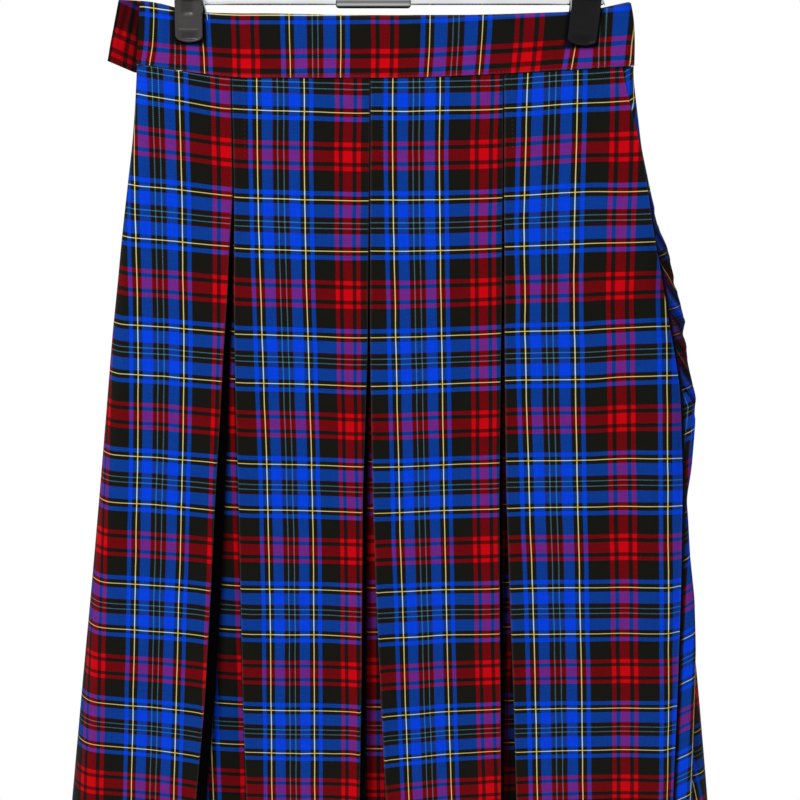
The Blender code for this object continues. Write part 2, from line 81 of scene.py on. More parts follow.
# The waistband. Its left ends and its right end lean from top to foot by the LEANs, and its middle stands
# BAND_PINCHED deep at the clips, BAND_SLACK more between them and BAND_FLARE more at its foot.
WAIST_BELOW_BAR = 8.4
WAIST_Z = -BAR_BELOW_HOOK - WAIST_BELOW_BAR
BAND_HEIGHT = 43.6
BAND_THICK = 3.0
BAND_LEFT, BAND_RIGHT = -165.6, 185.3
TAB_END = -185.0
TAB_DROOP = 3.0
FRONT_LEAN, TAB_LEAN, RIGHT_LEAN = 4.0, 10.4, 4.2
BAND_PINCHED = 2.2
BAND_SLACK = 1.6
BAND_FLARE = 4.5
BAND_CORNER = 5.0
SLACK_FROM, SLACK_RUN = 14.0, 25.0
FLARE_FROM = 0.62

# How the skirt's top is held up above its middle: the rise at each end, where it starts and how far it runs.
# The back's left end sags by BACK_SAG, and its tab climbs by TAB_SLOPE a millimetre from TAB_FROM on.
LEFT_RISE, LEFT_RISE_FROM, LEFT_RISE_RUN = 9.5, -90.0, 75.0
RIGHT_RISE, RIGHT_RISE_FROM, RIGHT_RISE_RUN = 8.0, 20.0, 162.0
BACK_SAG, BACK_SAG_FROM, BACK_SAG_RUN = 4.1, -130.0, 38.0
TAB_SLOPE, TAB_FROM = 0.26, -168.0

# The cloth. The model's walls are MODEL_CLOTH thick and these are CLOTH thick, with the same outer face. FOLD
# is a pressed fold's radius, and the hem is HEM_THICK thicker where it is turned up.
MODEL_CLOTH = 1.3
CLOTH = 0.6
FOLD = 1.0
SEAM_GAP = 0.3
SKIRT_TOP = 44.0
SKIRT_LENGTH = 720.0
HEM_HEIGHT = 32.0
HEM_THICK = 0.5

# The pleats. Each takes in INTAKE of cloth, is sewn shut down to PLEAT_SEWN_TO and opens below OPENS_FROM.
# Its free-hanging edges stand forward, less at the outer panels, and that fades over LIFT_FADE.
INTAKE = 110.0
PLEAT_SEWN_TO = 106.0
CLOSING, OPENS_FROM, OPENS_RUN = 0.3, 120.0, 60.0
OUTER_LIFT = 0.3
LIFT_FADE = 24.0

# The lapped side. The side panel goes in by LAP behind panel 4 and lies BEHIND_LAP behind it, and panel 4's
# edge curls back by EDGE_CURL below the hip. The side panel is held up by SIDE_RISE, and its outer edge turns
# back with radius SIDE_TURN.
LAP = 28.0
BEHIND_LAP = 1.9
EDGE_CURL = 3.6
SIDE_RISE = 8.0
SIDE_TURN = 5.0

# Painted shade: how dark the cloth is painted inside a pleat, in the deepest gaps as painted shadow, beside
# the clips as painted shadow and along panel 4's edge over the hip: 1 would be black.
HIDDEN_DARK = 0.9
GAP_DARK = 0.97
CLIP_DARK = 0.95
CLIP_DARK_FROM, CLIP_DARK_RUN, CLIP_DARK_CORNER = 0.8, 3.0, 2.0
EDGE_DARK = 0.34

# The meshes: rows are ROW_STEP apart and a panel's columns about COLUMN_STEP. A pleat's fold has FOLD_COLUMNS
# and the cloth behind it TURNED_COLUMNS, and its stitches run down the column SEWN_COLUMN, beside the fold.
ROW_STEP, SIDE_ROW_STEP = 5.2, 1.7
COLUMN_STEP = 2.3
QUARTER_COLUMNS = 18
FOLD_COLUMNS, TURNED_COLUMNS = 9, 12
SEWN_COLUMN = FOLD_COLUMNS + TURNED_COLUMNS + 2
UNDERLAY_COLUMNS = 80

# The sewing: the thread's radius, the rings of points round a stitch, and how far apart the stitches of each
# seam are and how long.
THREAD = 0.17
STITCH_RINGS, STITCH_SIDES = 4, 6
PLEAT_STITCHES = (3.1, 1.5)
HEM_STITCHES = (7.0, 1.3)
BAND_STITCHES = (2.9, 1.8)

# The camera, and the upright plane on which the stripes' places below are given as they are seen from it.
EYE = (18.7, -1108.0, -92.8)
EYE_PITCH = 76.0
LENS, SENSOR = 68.5, 36.0
STRIPE_PLANE = -16.0

# The studio. The surroundings light the skirt with WORLD_STRENGTH and look white.
WORLD_STRENGTH = 0.30
FLOOR_Z = -1150.0
FLOOR_RADII = (1, 400, 780)
LIGHT_SIZE, LIGHT_POWER = 560, 68


def table(text):
    """Named columns of numbers, from a heading line and a line a row. The end rows hold beyond them too."""
    lines = [line.split() for line in text.strip().splitlines()]
    values = np.array(lines[1:], float)
    return dict(zip(lines[0], values.T))


# Where the pleats' edges are across the front, by the drop below the waist. left is the side seam, a and b
# are the left and right edges of a pleat's opening, and edge is the free slanted edge of panel 4.
FRONT = table("""
drop  left    a1      b1      a2     b2    a3    b3     edge
44    -168.0  -101.4  -100.4  -2.9   -1.9  91.8  92.8   175.0
94    -173.0  -101.6  -100.4  -3.3   -2.1  92.2  93.6   189.0
130   -178.6  -102.1  -100.6  -3.8   -2.6  92.4  93.9   198.2
165   -184.0  -105.0  -101.5  -4.1   -2.9  92.7  94.5   205.7
202   -189.0  -107.3  -102.4  -4.5   -3.2  93.0  95.0   213.5
239   -194.4  -110.6  -102.8  -5.0   -3.2  93.0  95.6   220.1
277   -199.0  -113.3  -102.8  -6.3   -2.8  93.0  96.4   226.5
354   -208.6  -119.4  -102.4  -9.2   -1.5  93.2  98.5   230.2
434   -219.0  -125.0  -102.4  -10.0  0.8   94.6  102.3  232.6
517   -230.3  -131.6  -102.6  -11.2  4.3   96.5  106.5  233.2
603   -241.7  -141.2  -101.4  -12.8  8.1   97.9  110.0  233.1
720   -257.3  -153.4  -100.2  -15.0  13.8  98.8  115.6  233.3
""")

# The same edges across the back, in the same direction.
BACK = table("""
drop  left    a1      b1     a2     b2    a3    b3
44    -168.0  -92.0   -91.0  1.0    2.0   95.0  96.0
94    -173.0  -92.2   -91.0  0.9    2.1   95.0  96.3
130   -178.6  -92.6   -91.0  0.7    2.3   94.8  96.8
165   -184.0  -93.2   -91.2  0.2    2.6   94.8  97.8
202   -189.0  -94.2   -91.5  -0.6   3.2   94.7  99.2
239   -194.4  -95.2   -91.8  -1.5   4.0   94.8  100.6
277   -199.0  -96.4   -92.0  -2.6   5.1   95.0  102.2
354   -208.6  -98.4   -92.3  -4.8   7.6   95.4  105.6
434   -219.0  -100.4  -91.8  -7.0   10.6  96.0  109.6
517   -230.3  -102.4  -90.8  -9.0   13.6  97.0  114.0
603   -241.7  -104.4  -89.0  -11.2  17.2  98.0  119.0
720   -257.3  -107.2  -86.4  -13.8  21.6  99.0  126.0
""")

# depth is how far the front and back stand from the middle, round is how far in from the side the cloth
# turns, lift1 to lift3 are how far the pleats' free-hanging edges stand forward, and wrap and turn place
# the back's turn round the right side.
BODY = table("""
drop  depth  round  lift1  lift2  lift3  wrap   turn
44    6.5    9.0    0.0    0.0    0.0    1.3    183.0
94    7.8    10.0   0.0    0.0    0.0    0.8    190.6
130   9.0    11.0   0.3    0.0    0.0    0.0    199.0
165   10.4   12.0   1.2    0.2    0.2    -1.0   209.5
202   12.0   13.0   2.0    0.5    0.4    -2.0   220.0
239   14.0   14.0   2.8    0.8    0.6    -3.2   227.0
277   16.0   15.0   3.5    1.2    0.8    -4.5   235.0
354   19.0   16.0   4.5    2.5    1.2    -6.5   232.5
434   21.5   18.0   5.5    4.5    1.6    -8.0   242.0
517   24.0   20.0   6.5    6.5    2.0    -9.0   253.8
603   26.0   21.0   7.0    8.5    2.2    -10.0  264.7
720   28.0   23.0   7.5    10.0   2.5    -11.0  278.5
""")

# The underlays hang straight: how far each stands from the middle at the waist and at the hem.
UNDER_AT_WAIST = 2.5
UNDER_AT_HEM = {1: 12.0, 2: 17.0, 3: 12.0}

# The outer edge of the side panel.
SIDE = table("""
drop  out
44    185.0
94    192.6
130   201.5
165   212.0
202   223.0
218   227.9
227   226.3
239   230.0
252   231.8
277   238.9
300   238.9
330   237.6
354   234.9
370   236.8
400   239.8
434   244.7
475   247.5
517   248.5
603   249.7
720   250.5
""")

# How far the waistband's top edge lies above its middle, along its length.
TOP_EDGE = table("""
x       lift
-195.0  10.6
-168.0  9.4
-158.0  8.7
-148.0  6.8
-139.0  4.2
-129.0  2.6
-116.0  1.0
-95.0   0.45
-73.0   0.5
-45.0   0.0
-31.0   -0.35
-17.0   -0.55
26.0    -0.6
68.0    -0.5
90.0    0.0
119.0   1.0
135.0   1.5
149.0   2.3
160.0   4.0
171.0   6.4
182.0   8.8
""")

# The teal pair's middle across each front panel, right of the eye on the stripe plane. It is one repeat's
# centre line.
TEAL = table("""
drop  p1      p2     p3    p4
44    -172.5  -84.0  12.0  107.5
129   -173.2  -84.0  12.8  108.2
228   -175.6  -84.0  13.7  109.4
338   -179.8  -84.0  15.8  114.7
402   -183.4  -84.0  17.6  118.2
509   -190.5  -84.0  21.0  123.0
603   -195.6  -84.0  23.7  126.8
720   -202.5  -84.0  27.0  131.0
""")

# How far the stripes lie off that line, in millimetres: p1 to p4 move a panel's stripes to the right, and s1
# to s3 move those beside its right fold to the left, where the cloth turns in.
DRIFT = table("""
drop  p1    p2    p3    p4    s1    s2    s3
44    0.6   0.0   -0.4  -0.3  -1.0  0.0   -0.9
66    0.6   -0.2  -0.8  -0.6  -1.0  0.0   -0.9
94    0.7   -0.7  -1.2  -0.7  -0.8  0.2   -0.6
150   0.6   -0.9  -1.0  -1.4  -0.3  0.8   0.2
202   0.8   -0.4  -0.3  -0.5  0.5   1.3   0.5
239   1.0   0.1   0.0   0.0   1.2   1.9   0.6
270   1.0   0.4   0.0   -0.3  1.8   2.4   0.7
300   0.7   0.9   0.0   -0.4  2.0   2.6   0.9
338   0.1   1.2   0.1   -0.4  2.1   2.8   1.1
378   0.1   1.6   0.0   -0.5  2.1   2.6   1.2
442   0.2   1.4   0.0   -0.3  2.1   2.2   1.2
483   0.4   0.8   -0.5  -0.4  2.1   1.9   1.3
508   0.7   0.8   -0.3  -0.1  2.2   1.5   1.3
542   0.6   0.4   -0.3  -0.2  2.3   1.2   1.3
595   0.2   -0.2  0.1   -0.3  2.3   1.1   1.3
""")

# That squeeze starts this far right of the teal pair, and is full after SQUEEZE_RUN.
SQUEEZE, SQUEEZE_FROM, SQUEEZE_RUN = 1.25, 15.0, 50.0

# How far each front panel's level lines hang below even spacing, at its left, middle and right.
SAG = table("""
drop  l1    m1    r1    l2    m2    r2    l3    m3    r3    l4    m4    r4
66    -1.5  -1.4  0.0   -0.1  1.0   2.3   0.9   1.1   2.1   1.8   0.9   -0.5
127   -0.8  -2.2  -2.0  -1.1  0.3   0.9   0.3   1.1   1.4   0.6   0.0   -0.3
165   0.2   -1.5  -1.8  -0.7  0.6   1.5   0.9   1.3   1.9   0.7   0.9   0.2
228   1.6   -0.9  -1.8  -0.3  0.8   2.2   2.0   1.6   1.6   0.8   1.5   -0.6
265   2.4   -0.3  -0.9  -0.1  0.7   2.4   2.3   1.6   2.0   1.0   2.3   0.1
326   2.0   -0.8  -1.3  -0.8  -0.1  1.6   1.6   1.0   1.6   0.1   1.6   0.9
363   2.6   -0.2  -0.9  -1.2  -0.4  0.3   1.1   0.5   0.8   0.6   1.9   1.7
426   3.4   0.8   -0.5  -1.0  -0.4  -0.2  0.6   0.5   1.4   1.5   3.1   3.3
463   3.9   1.2   0.2   -0.8  -0.5  0.1   1.2   0.7   1.9   2.3   4.3   4.5
525   3.0   1.6   0.6   -1.0  0.0   -0.9  2.6   1.6   1.5   1.7   3.3   3.5
562   2.0   0.7   0.4   -1.4  -0.2  -2.0  2.6   1.2   0.7   1.3   2.0   2.6
""")

# How far each underlay's level lines hang above even spacing.
UNDER_RISE = table("""
drop  u1    u2    u3
350   0.0   0.0   0.0
424   1.0   -0.5  1.0
459   1.5   0.0   1.4
520   2.9   0.6   3.1
554   5.6   2.0   4.3
720   6.5   3.0   5.0
""")

# The teal pair's places on the other pieces, as they are seen, and how far the back's lines are lower.
UNDER_SHIFT = 2.5
BACK_TEAL = {1: -174.0, 2: -75.0, 3: 19.0, 4: 102.0}
BACK_SINK = 36.0
UNDER_TEAL = {1: -164.2, 2: 26.0, 3: 123.5}
BACK_UNDER_TEAL = {1: -58.0, 2: 38.0, 3: 132.0}
SIDE_TEAL = 216.9

# How far panel 4's free edge is pulled in over the hip, by drop.
EDGE_PULL = table("""
drop  in
118   0.0
142   2.2
165   2.6
222   2.6
254   1.3
300   0.5
330   0.0
""")

# Panel 4 is stretched by the hip: how much, by drop, and how far its stripes sink towards its free edge.
HIP_STRETCH = table("""
drop  across
44    1.05
66    1.07
95    1.085
165   1.085
202   1.06
239   1.08
330   1.08
402   1.07
483   1.07
603   1.06
""")
EDGE_SINK = 1.7

# The tartan's threads, from the middle of the teal pair to the middle of the wide red: the repeat mirrors
# at both ends. Across is the order of the upright stripes and down of the level ones.
SETT_ACROSS = """
black 1.8, teal 0.8, black 2.6, wine 0.6, blue 7.8, black 2.8, yellow 0.75, black 2.95, blue 3.2,
black 15.2, red 3.2, black 2.8, red 3.55
"""
SETT_DOWN = """
black 1.6, teal 0.8, black 2.8, wine 0.7, blue 9.2, black 2.8, yellow 0.64, black 2.66, blue 3.4,
black 14.9, red 3.15, black 2.85, red 4.2
"""
THREAD_BLUR = 0.13

# The weave. The lines wander by up to half of WANDER, and the twill's ribs and the fuzz change which
# direction shows. Slubs are noise that is long along the threads, and with a broad noise they make the tone.
TWILL_PITCH = 1.5
WANDER, WANDER_SCALE = 1.2, 0.02
RIB_SHOWS, FUZZ_SHOWS = 0.13, 0.8
FUZZ_SCALE = 1.3
SLUB_ALONG, SLUB_ACROSS = 0.06, 1.9
BROAD_SCALE = 0.012
TONE, SLUB_TONE, BROAD_TONE = 0.40, 0.56, 0.12
CLOTH_BUMP = 0.25

# The first level teal pair's drop. The lines below it slip by up to SLIP, about the drop SLIP_DROP.
FIRST_TEAL_DROP = 47.4
SLIP, SLIP_DROP, SLIP_SPREAD = 1.1, 340.0, 130.0

# The threads' colours as they are seen, from 0 to 1. The yellow line is drawn over its place.
THREADS = {
    "black": (0.100, 0.098, 0.080),
    "teal": (0.390, 0.600, 0.730),
    "wine": (0.290, 0.045, 0.150),
    "blue": (0.000, 0.275, 0.930),
    "yellow": (0.110, 0.100, 0.075),
    "red": (0.820, 0.000, 0.085),
}
YELLOW_THREAD = (0.840, 0.780, 0.480)
YELLOW_CROSSING = (0.953, 0.824, 0.216)
YELLOW_DIMS = 0.55
# The pale colour for wear and painted highlights on fold edges, rims and fold tops, and the share of it.
WEAR_AND_HIGHLIGHT_COLOUR = (0.55, 0.42, 0.45)
WEAR_AND_HIGHLIGHT_SHARE = 0.075
BLACK = (0.0, 0.0, 0.0)

# What a crossing of two unlike threads gains where just one is blue, and loses where just one is red, and
# what it gains and loses where one is blue and the other red.
BLUE_CAST = (0.0, 0.085, 0.115)
RED_CAST = (0.06, 0.02, 0.02)
PURPLE_GAIN = (0.11, 0.0, 0.0)
PURPLE_LOSS = (0.0, 0.025, 0.07)


# Curves and sections


def smooth(value):
    """A soft step from 0 to 1: v * v * (3 - 2 * v), with v held between 0 and 1."""
    value = np.clip(value, 0, 1)
    return value * value * (3 - 2 * value)


def at(columns, name, drop, soften=12.0):
    """A column of a table at each drop, with its corners softened: the mean of five nearby readings."""
    key = "drop" if "drop" in columns else "x"
    places = [np.interp(drop + soften * step, columns[key], columns[name]) for step in (-1, -0.5, 0, 0.5, 1)]
    return np.mean(places, axis=0)


def raised(x, face="front"):
    """How far the skirt's top is held up above its middle, which sags between the clips.

    The back sags a little more at the left, and its tab leans up towards its end.
    """
    left = LEFT_RISE * np.clip((LEFT_RISE_FROM - x) / LEFT_RISE_RUN, 0, 1) ** 1.4
    right = RIGHT_RISE * np.clip((x - RIGHT_RISE_FROM) / RIGHT_RISE_RUN, 0, 1) ** 1.3
    if face == "back":
        left = left - BACK_SAG * smooth((BACK_SAG_FROM - x) / BACK_SAG_RUN)
        left = left + TAB_SLOPE * np.clip(TAB_FROM - x, 0, None)
    return left + right


def run(start, end, y_of, count):
    """Points straight across: x = start + (end - start) s, for s from 0 to 1, and y = y_of(x)."""
    share = np.linspace(0, 1, count)[:, None]
    x = start + (end - start) * share
    y = y_of(x) if callable(y_of) else y_of + 0 * x
    return x, y, 0 * x, 0 * x


def fold(x, y, side):
    """A pressed fold at x: half a circle of radius FOLD, from the layer behind (at y + 2 FOLD) to y.

    side is 1 for a panel's left edge. At a right edge, -1, it runs the other way. Its mark for wear and a
    painted highlight is 1 at its outermost point and 0 where it meets the flat cloth.
    """
    turn = np.linspace(-np.pi / 2, np.pi / 2, FOLD_COLUMNS)[:, None]
    centre = x + side * (MODEL_CLOTH / 2 + FOLD)
    px = centre - side * FOLD * np.cos(turn)
    py = y + FOLD - side * FOLD * np.sin(turn)
    return px, py, np.cos(turn) ** 2 + 0 * px, 0 * px


def quarter(x, depth, round_by):
    """The turn at the left side: a quarter of an ellipse from the seam to the front, round_by wide."""
    angle = np.linspace(0, np.pi / 2, QUARTER_COLUMNS, endpoint=False)[:, None]
    px = x + MODEL_CLOTH / 2 + round_by * (1 - np.cos(angle))
    py = -SEAM_GAP / 2 - (depth - SEAM_GAP / 2) * np.sin(angle)
    return px, py, 0 * px, 0 * px


def joined(*parts):
    """One section from several, in their order."""
    return [np.concatenate(values) for values in zip(*parts)]


def to_back(section):
    """The same section on the back: mirrored front to back, and run the other way."""
    x, y, wear_and_highlight, painted_shade = section
    return [x[::-1], -y[::-1], wear_and_highlight[::-1], painted_shade[::-1]]


def rows(step=ROW_STEP):
    """The drops of a piece's rows, from the waistband's foot to the hem."""
    return np.linspace(SKIRT_TOP, SKIRT_LENGTH, int(round((SKIRT_LENGTH - SKIRT_TOP) / step)) + 1)


def pleat(columns, number, drop):
    """An inverted pleat's edges, how far its turned-back cloth reaches, and where its underlay hangs."""
    left, right = at(columns, f"a{number}", drop), at(columns, f"b{number}", drop)
    reach = (INTAKE - (right - left)) / 4
    fallen = (drop - SKIRT_TOP) / (SKIRT_LENGTH - SKIRT_TOP)
    under = -UNDER_AT_WAIST - (UNDER_AT_HEM[number] - UNDER_AT_WAIST) * fallen
    return left, right, reach, under


def panel_depth(lift_left, left, lift_right, right, drop):
    """Depth across a panel, whose edges stand forward by their lifts, which fade towards its middle."""

    def depth_at(x):
        forward = lift_left * np.exp(-np.abs(x - left) / LIFT_FADE)
        forward = forward + lift_right * np.exp(-np.abs(right - x) / LIFT_FADE)
        return -at(BODY, "depth", drop) - forward

    return depth_at


def turned_back(place, side, front_y, reach, under, share):
    """The cloth behind a pleat's fold at place, which runs inwards by reach and back to its underlay.

    With turned as the fold's own width, x = place + side (turned + (reach - turned) share), and y goes from
    the fold's rear to the underlay as smooth(share).
    """
    turned = MODEL_CLOTH / 2 + FOLD
    back_y, end_y = front_y + 2 * FOLD, under - MODEL_CLOTH - SEAM_GAP
    x = place + side * (turned + (reach - turned) * share)
    y = back_y + (end_y - back_y) * smooth(share)
    # The cloth behind the fold is painted darker as shade, up to HIDDEN_DARK at the underlay.
    return x, y, 0 * x, HIDDEN_DARK * smooth(share) + 0 * x


def panel_section(columns, number, drop):
    """The section of one panel from left to right, and its middle column.

    Panel 4 ends differently on the front and the back, so it has just the parts at its left, and where its
    flat cloth starts.
    """
    lifts = [at(BODY, f"lift{each}", drop) for each in (1, 2, 3)]
    left, right = at(columns, "left", drop), at(BODY, "turn", drop)
    closed = 1 - smooth((drop - OPENS_FROM) / OPENS_RUN)
    left_lift = right_lift = 0.0
    if number > 1:
        _, left, left_reach, left_under = pleat(columns, number - 1, drop)
        left = left - CLOSING * closed
        left_lift = lifts[number - 2] * (1.0 if number == 3 else OUTER_LIFT)
    if number < 4:
        right, _, right_reach, right_under = pleat(columns, number, drop)
        right = right + CLOSING * closed
        right_lift = lifts[number - 1] * (1.0 if number < 3 else OUTER_LIFT)
    depth_at = panel_depth(left_lift, left, right_lift, right, drop)
    turned = MODEL_CLOTH / 2 + FOLD
    if number == 1:
        round_by = at(BODY, "round", drop)
        parts = [quarter(left, at(BODY, "depth", drop), round_by)]
        start = left + MODEL_CLOTH / 2 + round_by
    else:
        share = np.linspace(1, 0, TURNED_COLUMNS, endpoint=False)[:, None]
        behind = turned_back(left, 1, depth_at(left), left_reach, left_under, share)
        parts = [behind, fold(left, depth_at(left), 1)]
        start = left + turned
    if number == 4:
        return parts, start
    end = right - turned
    count = int((end - start).max() / COLUMN_STEP)
    flat = [values[1:-1] for values in run(start, end, depth_at, count + 2)]
    middle = sum(len(part[0]) for part in parts) + count // 2
    share = np.linspace(0, 1, TURNED_COLUMNS + 1)[1:, None]
    behind = turned_back(right, -1, depth_at(right), right_reach, right_under, share)
    parts += [flat, fold(right, depth_at(right), -1), behind]
    return joined(*parts), middle


def read_off(values, travelled, places):
    """Vectors given at the lengths travelled along a line, at other places along it."""
    return np.stack([np.interp(places, travelled, column) for column in values.T], axis=-1)


def unit(vectors):
    """Vectors drawn out or in to a length of 1."""
    return vectors / np.maximum(np.linalg.norm(vectors, axis=-1, keepdims=True), 1e-6)


# Cloth pieces


def to_points(section, drop, face="front"):
    """Points of a section over every row. Each column keeps the rise that it has at the waist."""
    x, y = section[:2]
    z = WAIST_Z - drop + raised(x[:, :1], face) + 0 * x
    return np.stack([x, y, z], axis=-1)


def outward(points):
    """The unit normal at each point: the step down crossed with the step across."""
    return unit(np.cross(np.gradient(points, axis=1), np.gradient(points, axis=0)))


def arc_length(points):
    """The length along each row from its first column, in plan."""
    steps = np.linalg.norm(np.diff(points[..., :2], axis=0), axis=-1)
    return np.concatenate([np.zeros((1, points.shape[1])), np.cumsum(steps, axis=0)])


def seen_drop(drop, y):
    """The drop at which something at y is seen on the stripe plane: it scales with its distance."""
    eye_drop = WAIST_Z - EYE[2]
    return (drop - eye_drop) * (STRIPE_PLANE - EYE[1]) / (y - EYE[1]) + eye_drop


def true_x(seen_x, y):
    """Where something at y is that is seen seen_x right of the eye on the stripe plane."""
    return EYE[0] + seen_x * (y - EYE[1]) / (STRIPE_PLANE - EYE[1])


def stripes_on(points, drop, column, teal_seen, shift=0.0, stretch=1.0, run_back=False):
    """Where each point is in the tartan: millimetres from the teal middle, across and down.

    Across is the length along the row from one column, whose own place is known. Down is the seen drop.
    teal_seen is a front panel's number, as text, or the teal pair's place on the stripe plane.
    """
    y = points[column, :, 1]
    down = seen_drop(drop, -np.abs(y))
    if isinstance(teal_seen, str):
        drift = np.interp(down, DRIFT["drop"], DRIFT[f"p{teal_seen}"])
        teal_seen = np.interp(down, TEAL["drop"], TEAL[f"p{teal_seen}"]) + drift
    teal = true_x(teal_seen, -np.abs(y))
    down = down + SLIP * np.exp(-(((down - SLIP_DROP) / SLIP_SPREAD) ** 2))
    length = arc_length(points)
    along = (length - length[column]) * (-1 if run_back else 1)
    across = (along + points[column, :, 0] - teal) / stretch
    return np.stack([across, down - FIRST_TEAL_DROP + shift + 0 * across], axis=-1)


def drawn_to_photo(stripes, points, drop, number, left, right):
    """The stripes of a front panel with its sag, and with those beside its right fold drawn in.

    left and right are the panel's visible edges at each drop. The sag is given at a tenth, a half and nine
    tenths of the way from one to the other.
    """
    share = (points[..., 0] - left) / (right - left)
    down = seen_drop(drop, points[..., 1])
    places = [np.interp(down, SAG["drop"], SAG[f"{name}{number}"]) for name in "lmr"]
    to_middle, to_right = np.clip((share - 0.1) / 0.4, 0, 1), np.clip((share - 0.5) / 0.4, 0, 1)
    sag = places[0] + (places[1] - places[0]) * to_middle + (places[2] - places[1]) * to_right
    stripes[..., 1] -= sag
    if number < 4:
        squeeze = np.interp(down, DRIFT["drop"], DRIFT[f"s{number}"])
        stripes[..., 0] += squeeze * smooth((stripes[..., 0] - SQUEEZE_FROM) / SQUEEZE_RUN) * SQUEEZE
    return stripes


def grid_faces(steps, count, flip=False):
    """Quads between neighbours of a grid, numbered step by step."""
    here = np.arange(steps * count).reshape(steps, count)
    quads = np.stack([here[:-1, :-1], here[:-1, 1:], here[1:, 1:], here[1:, :-1]], axis=-1).reshape(-1, 4)
    return quads[:, ::-1] if flip else quads


def ring_faces(steps, count):
    """Quads between neighbours of a grid whose last column is beside its first."""
    here = np.arange(steps * count).reshape(steps, count)
    after = np.roll(here, -1, axis=1)
    return np.stack([here[:-1], here[1:], after[1:], after[:-1]], axis=-1).reshape(-1, 4)


def add_mesh(name, points, quads, material, uv=None, marks=None, sharp=50):
    """A smooth-shaded mesh from points in millimetres and quads."""
    mesh = bpy.data.meshes.new(name)
    mesh.vertices.add(len(points))
    mesh.vertices.foreach_set("co", (points * MM).ravel())
    mesh.loops.add(quads.size)
    mesh.loops.foreach_set("vertex_index", quads.ravel())
    mesh.polygons.add(len(quads))
    mesh.polygons.foreach_set("loop_start", np.arange(0, quads.size, quads.shape[1]))
    mesh.update(calc_edges=True)
    mesh.validate()
    if uv is not None:
        layer = mesh.uv_layers.new(name="cloth")
        layer.data.foreach_set("uv", (uv[quads.ravel()] * MM).ravel())
    for attribute, values in (marks or {}).items():
        layer = mesh.attributes.new(attribute, "FLOAT", "POINT")
        layer.data.foreach_set("value", values.ravel())
    mesh.shade_smooth()
    mesh.set_sharp_from_angle(angle=math.radians(sharp))
    mesh.materials.append(material)
    piece = bpy.data.objects.new(name, mesh)
    bpy.context.collection.objects.link(piece)
    return piece


def wall_mesh(centre, normal, outer, inner):
    """A closed wall: points centre + outer * normal and centre - inner * normal, joined round the rim."""
    steps, count = centre.shape[:2]
    outer, inner = np.broadcast_to(outer, (steps, count)), np.broadcast_to(inner, (steps, count))
    points = np.concatenate([
        (centre + normal * outer[..., None]).reshape(-1, 3),
        (centre - normal * inner[..., None]).reshape(-1, 3),
    ])
    front = grid_faces(steps, count)
    back = grid_faces(steps, count, flip=True) + steps * count
    grid = np.arange(steps * count).reshape(steps, count)
    rim = np.concatenate([grid[:-1, 0], grid[-1, :-1], grid[:0:-1, -1], grid[0, :0:-1]])
    after = np.roll(rim, -1)
    edge = np.stack([rim, after, after + steps * count, rim + steps * count], axis=-1)
    return points, np.concatenate([front, back, edge])


# Soft creases in the cloth, one for each line: its two ends, its half width, and how far it stands forward.
CREASES = {
    "front_panel_1": """
x0      d0    x1      d1    width  height
-160.0  50.0  -175.0  190   7.0    0.7
-130.0  60.0  -125.0  200   8.0    -0.5
-150.0  300   -185.0  520   10.0   0.7
-190.0  420   -160.0  640   9.0    -0.5
-215.0  560   -232.0  715   10.0   0.8
""",
    "front_panel_2": """
x0     d0    x1     d1    width  height
-80.0  60    -70.0  260   8.0    0.5
-30.0  90    -45.0  330   9.0    -0.5
-60.0  420   -85.0  640   11.0   0.7
-34.0  500   -29.0  700   9.0    0.6
""",
    "front_panel_3": """
x0    d0    x1    d1    width  height
20.0  55    30.0  240   8.0    0.5
70.0  120   60.0  380   10.0   -0.5
36.0  430   32.0  660   9.0    0.7
75.0  560   82.0  715   9.0    0.6
""",
    "front_panel_4": """
x0     d0    x1     d1    width  height
118.0  50    126.0  210   8.0    0.6
160.0  60    150.0  200   7.0    -0.6
185.0  150   160.0  330   9.0    0.7
140.0  380   150.0  600   10.0   -0.5
200.0  330   205.0  560   9.0    0.6
209.0  388   196.0  414   4.0    0.8
170.0  600   180.0  715   10.0   0.6
""",
    "back_panel_1": """
x0      d0    x1      d1    width  height
-150.0  55    -162.0  210   8.0    0.6
-118.0  80    -115.0  330   8.0    -0.5
-170.0  330   -196.0  590   11.0   0.7
-125.0  470   -135.0  700   10.0   0.6
""",
    "back_panel_2": """
x0     d0    x1     d1    width  height
-70.0  50    -80.0  230   8.0    0.6
-20.0  150   -35.0  420   10.0   -0.5
-65.0  440   -50.0  690   11.0   0.7
""",
    "back_panel_3": """
x0    d0    x1    d1    width  height
25.0  60    38.0  280   9.0    0.5
80.0  120   66.0  360   9.0    -0.5
40.0  430   60.0  700   11.0   0.7
""",
    "back_panel_4": """
x0     d0    x1     d1    width  height
120.0  55    128.0  240   8.0    0.6
165.0  80    150.0  300   9.0    -0.6
190.0  250   170.0  480   10.0   0.8
150.0  460   160.0  700   11.0   0.7
225.0  420   232.0  690   9.0    0.7
""",
}


def crease(across, down, lines):
    """Soft creases: each is height * exp(-(distance / width)^2), and fades at both of its ends."""
    total = 0 * across
    for x0, y0, x1, y1, width, height in lines:
        length = math.hypot(x1 - x0, y1 - y0)
        ux, uy = (x1 - x0) / length, (y1 - y0) / length
        along = (across - x0) * ux + (down - y0) * uy
        off = (across - x0) * uy - (down - y0) * ux
        fade = smooth((along + width) / (0.3 * length)) * smooth((length + width - along) / (0.3 * length))
        total = total + height * np.exp(-((off / width) ** 2)) * fade
    return total


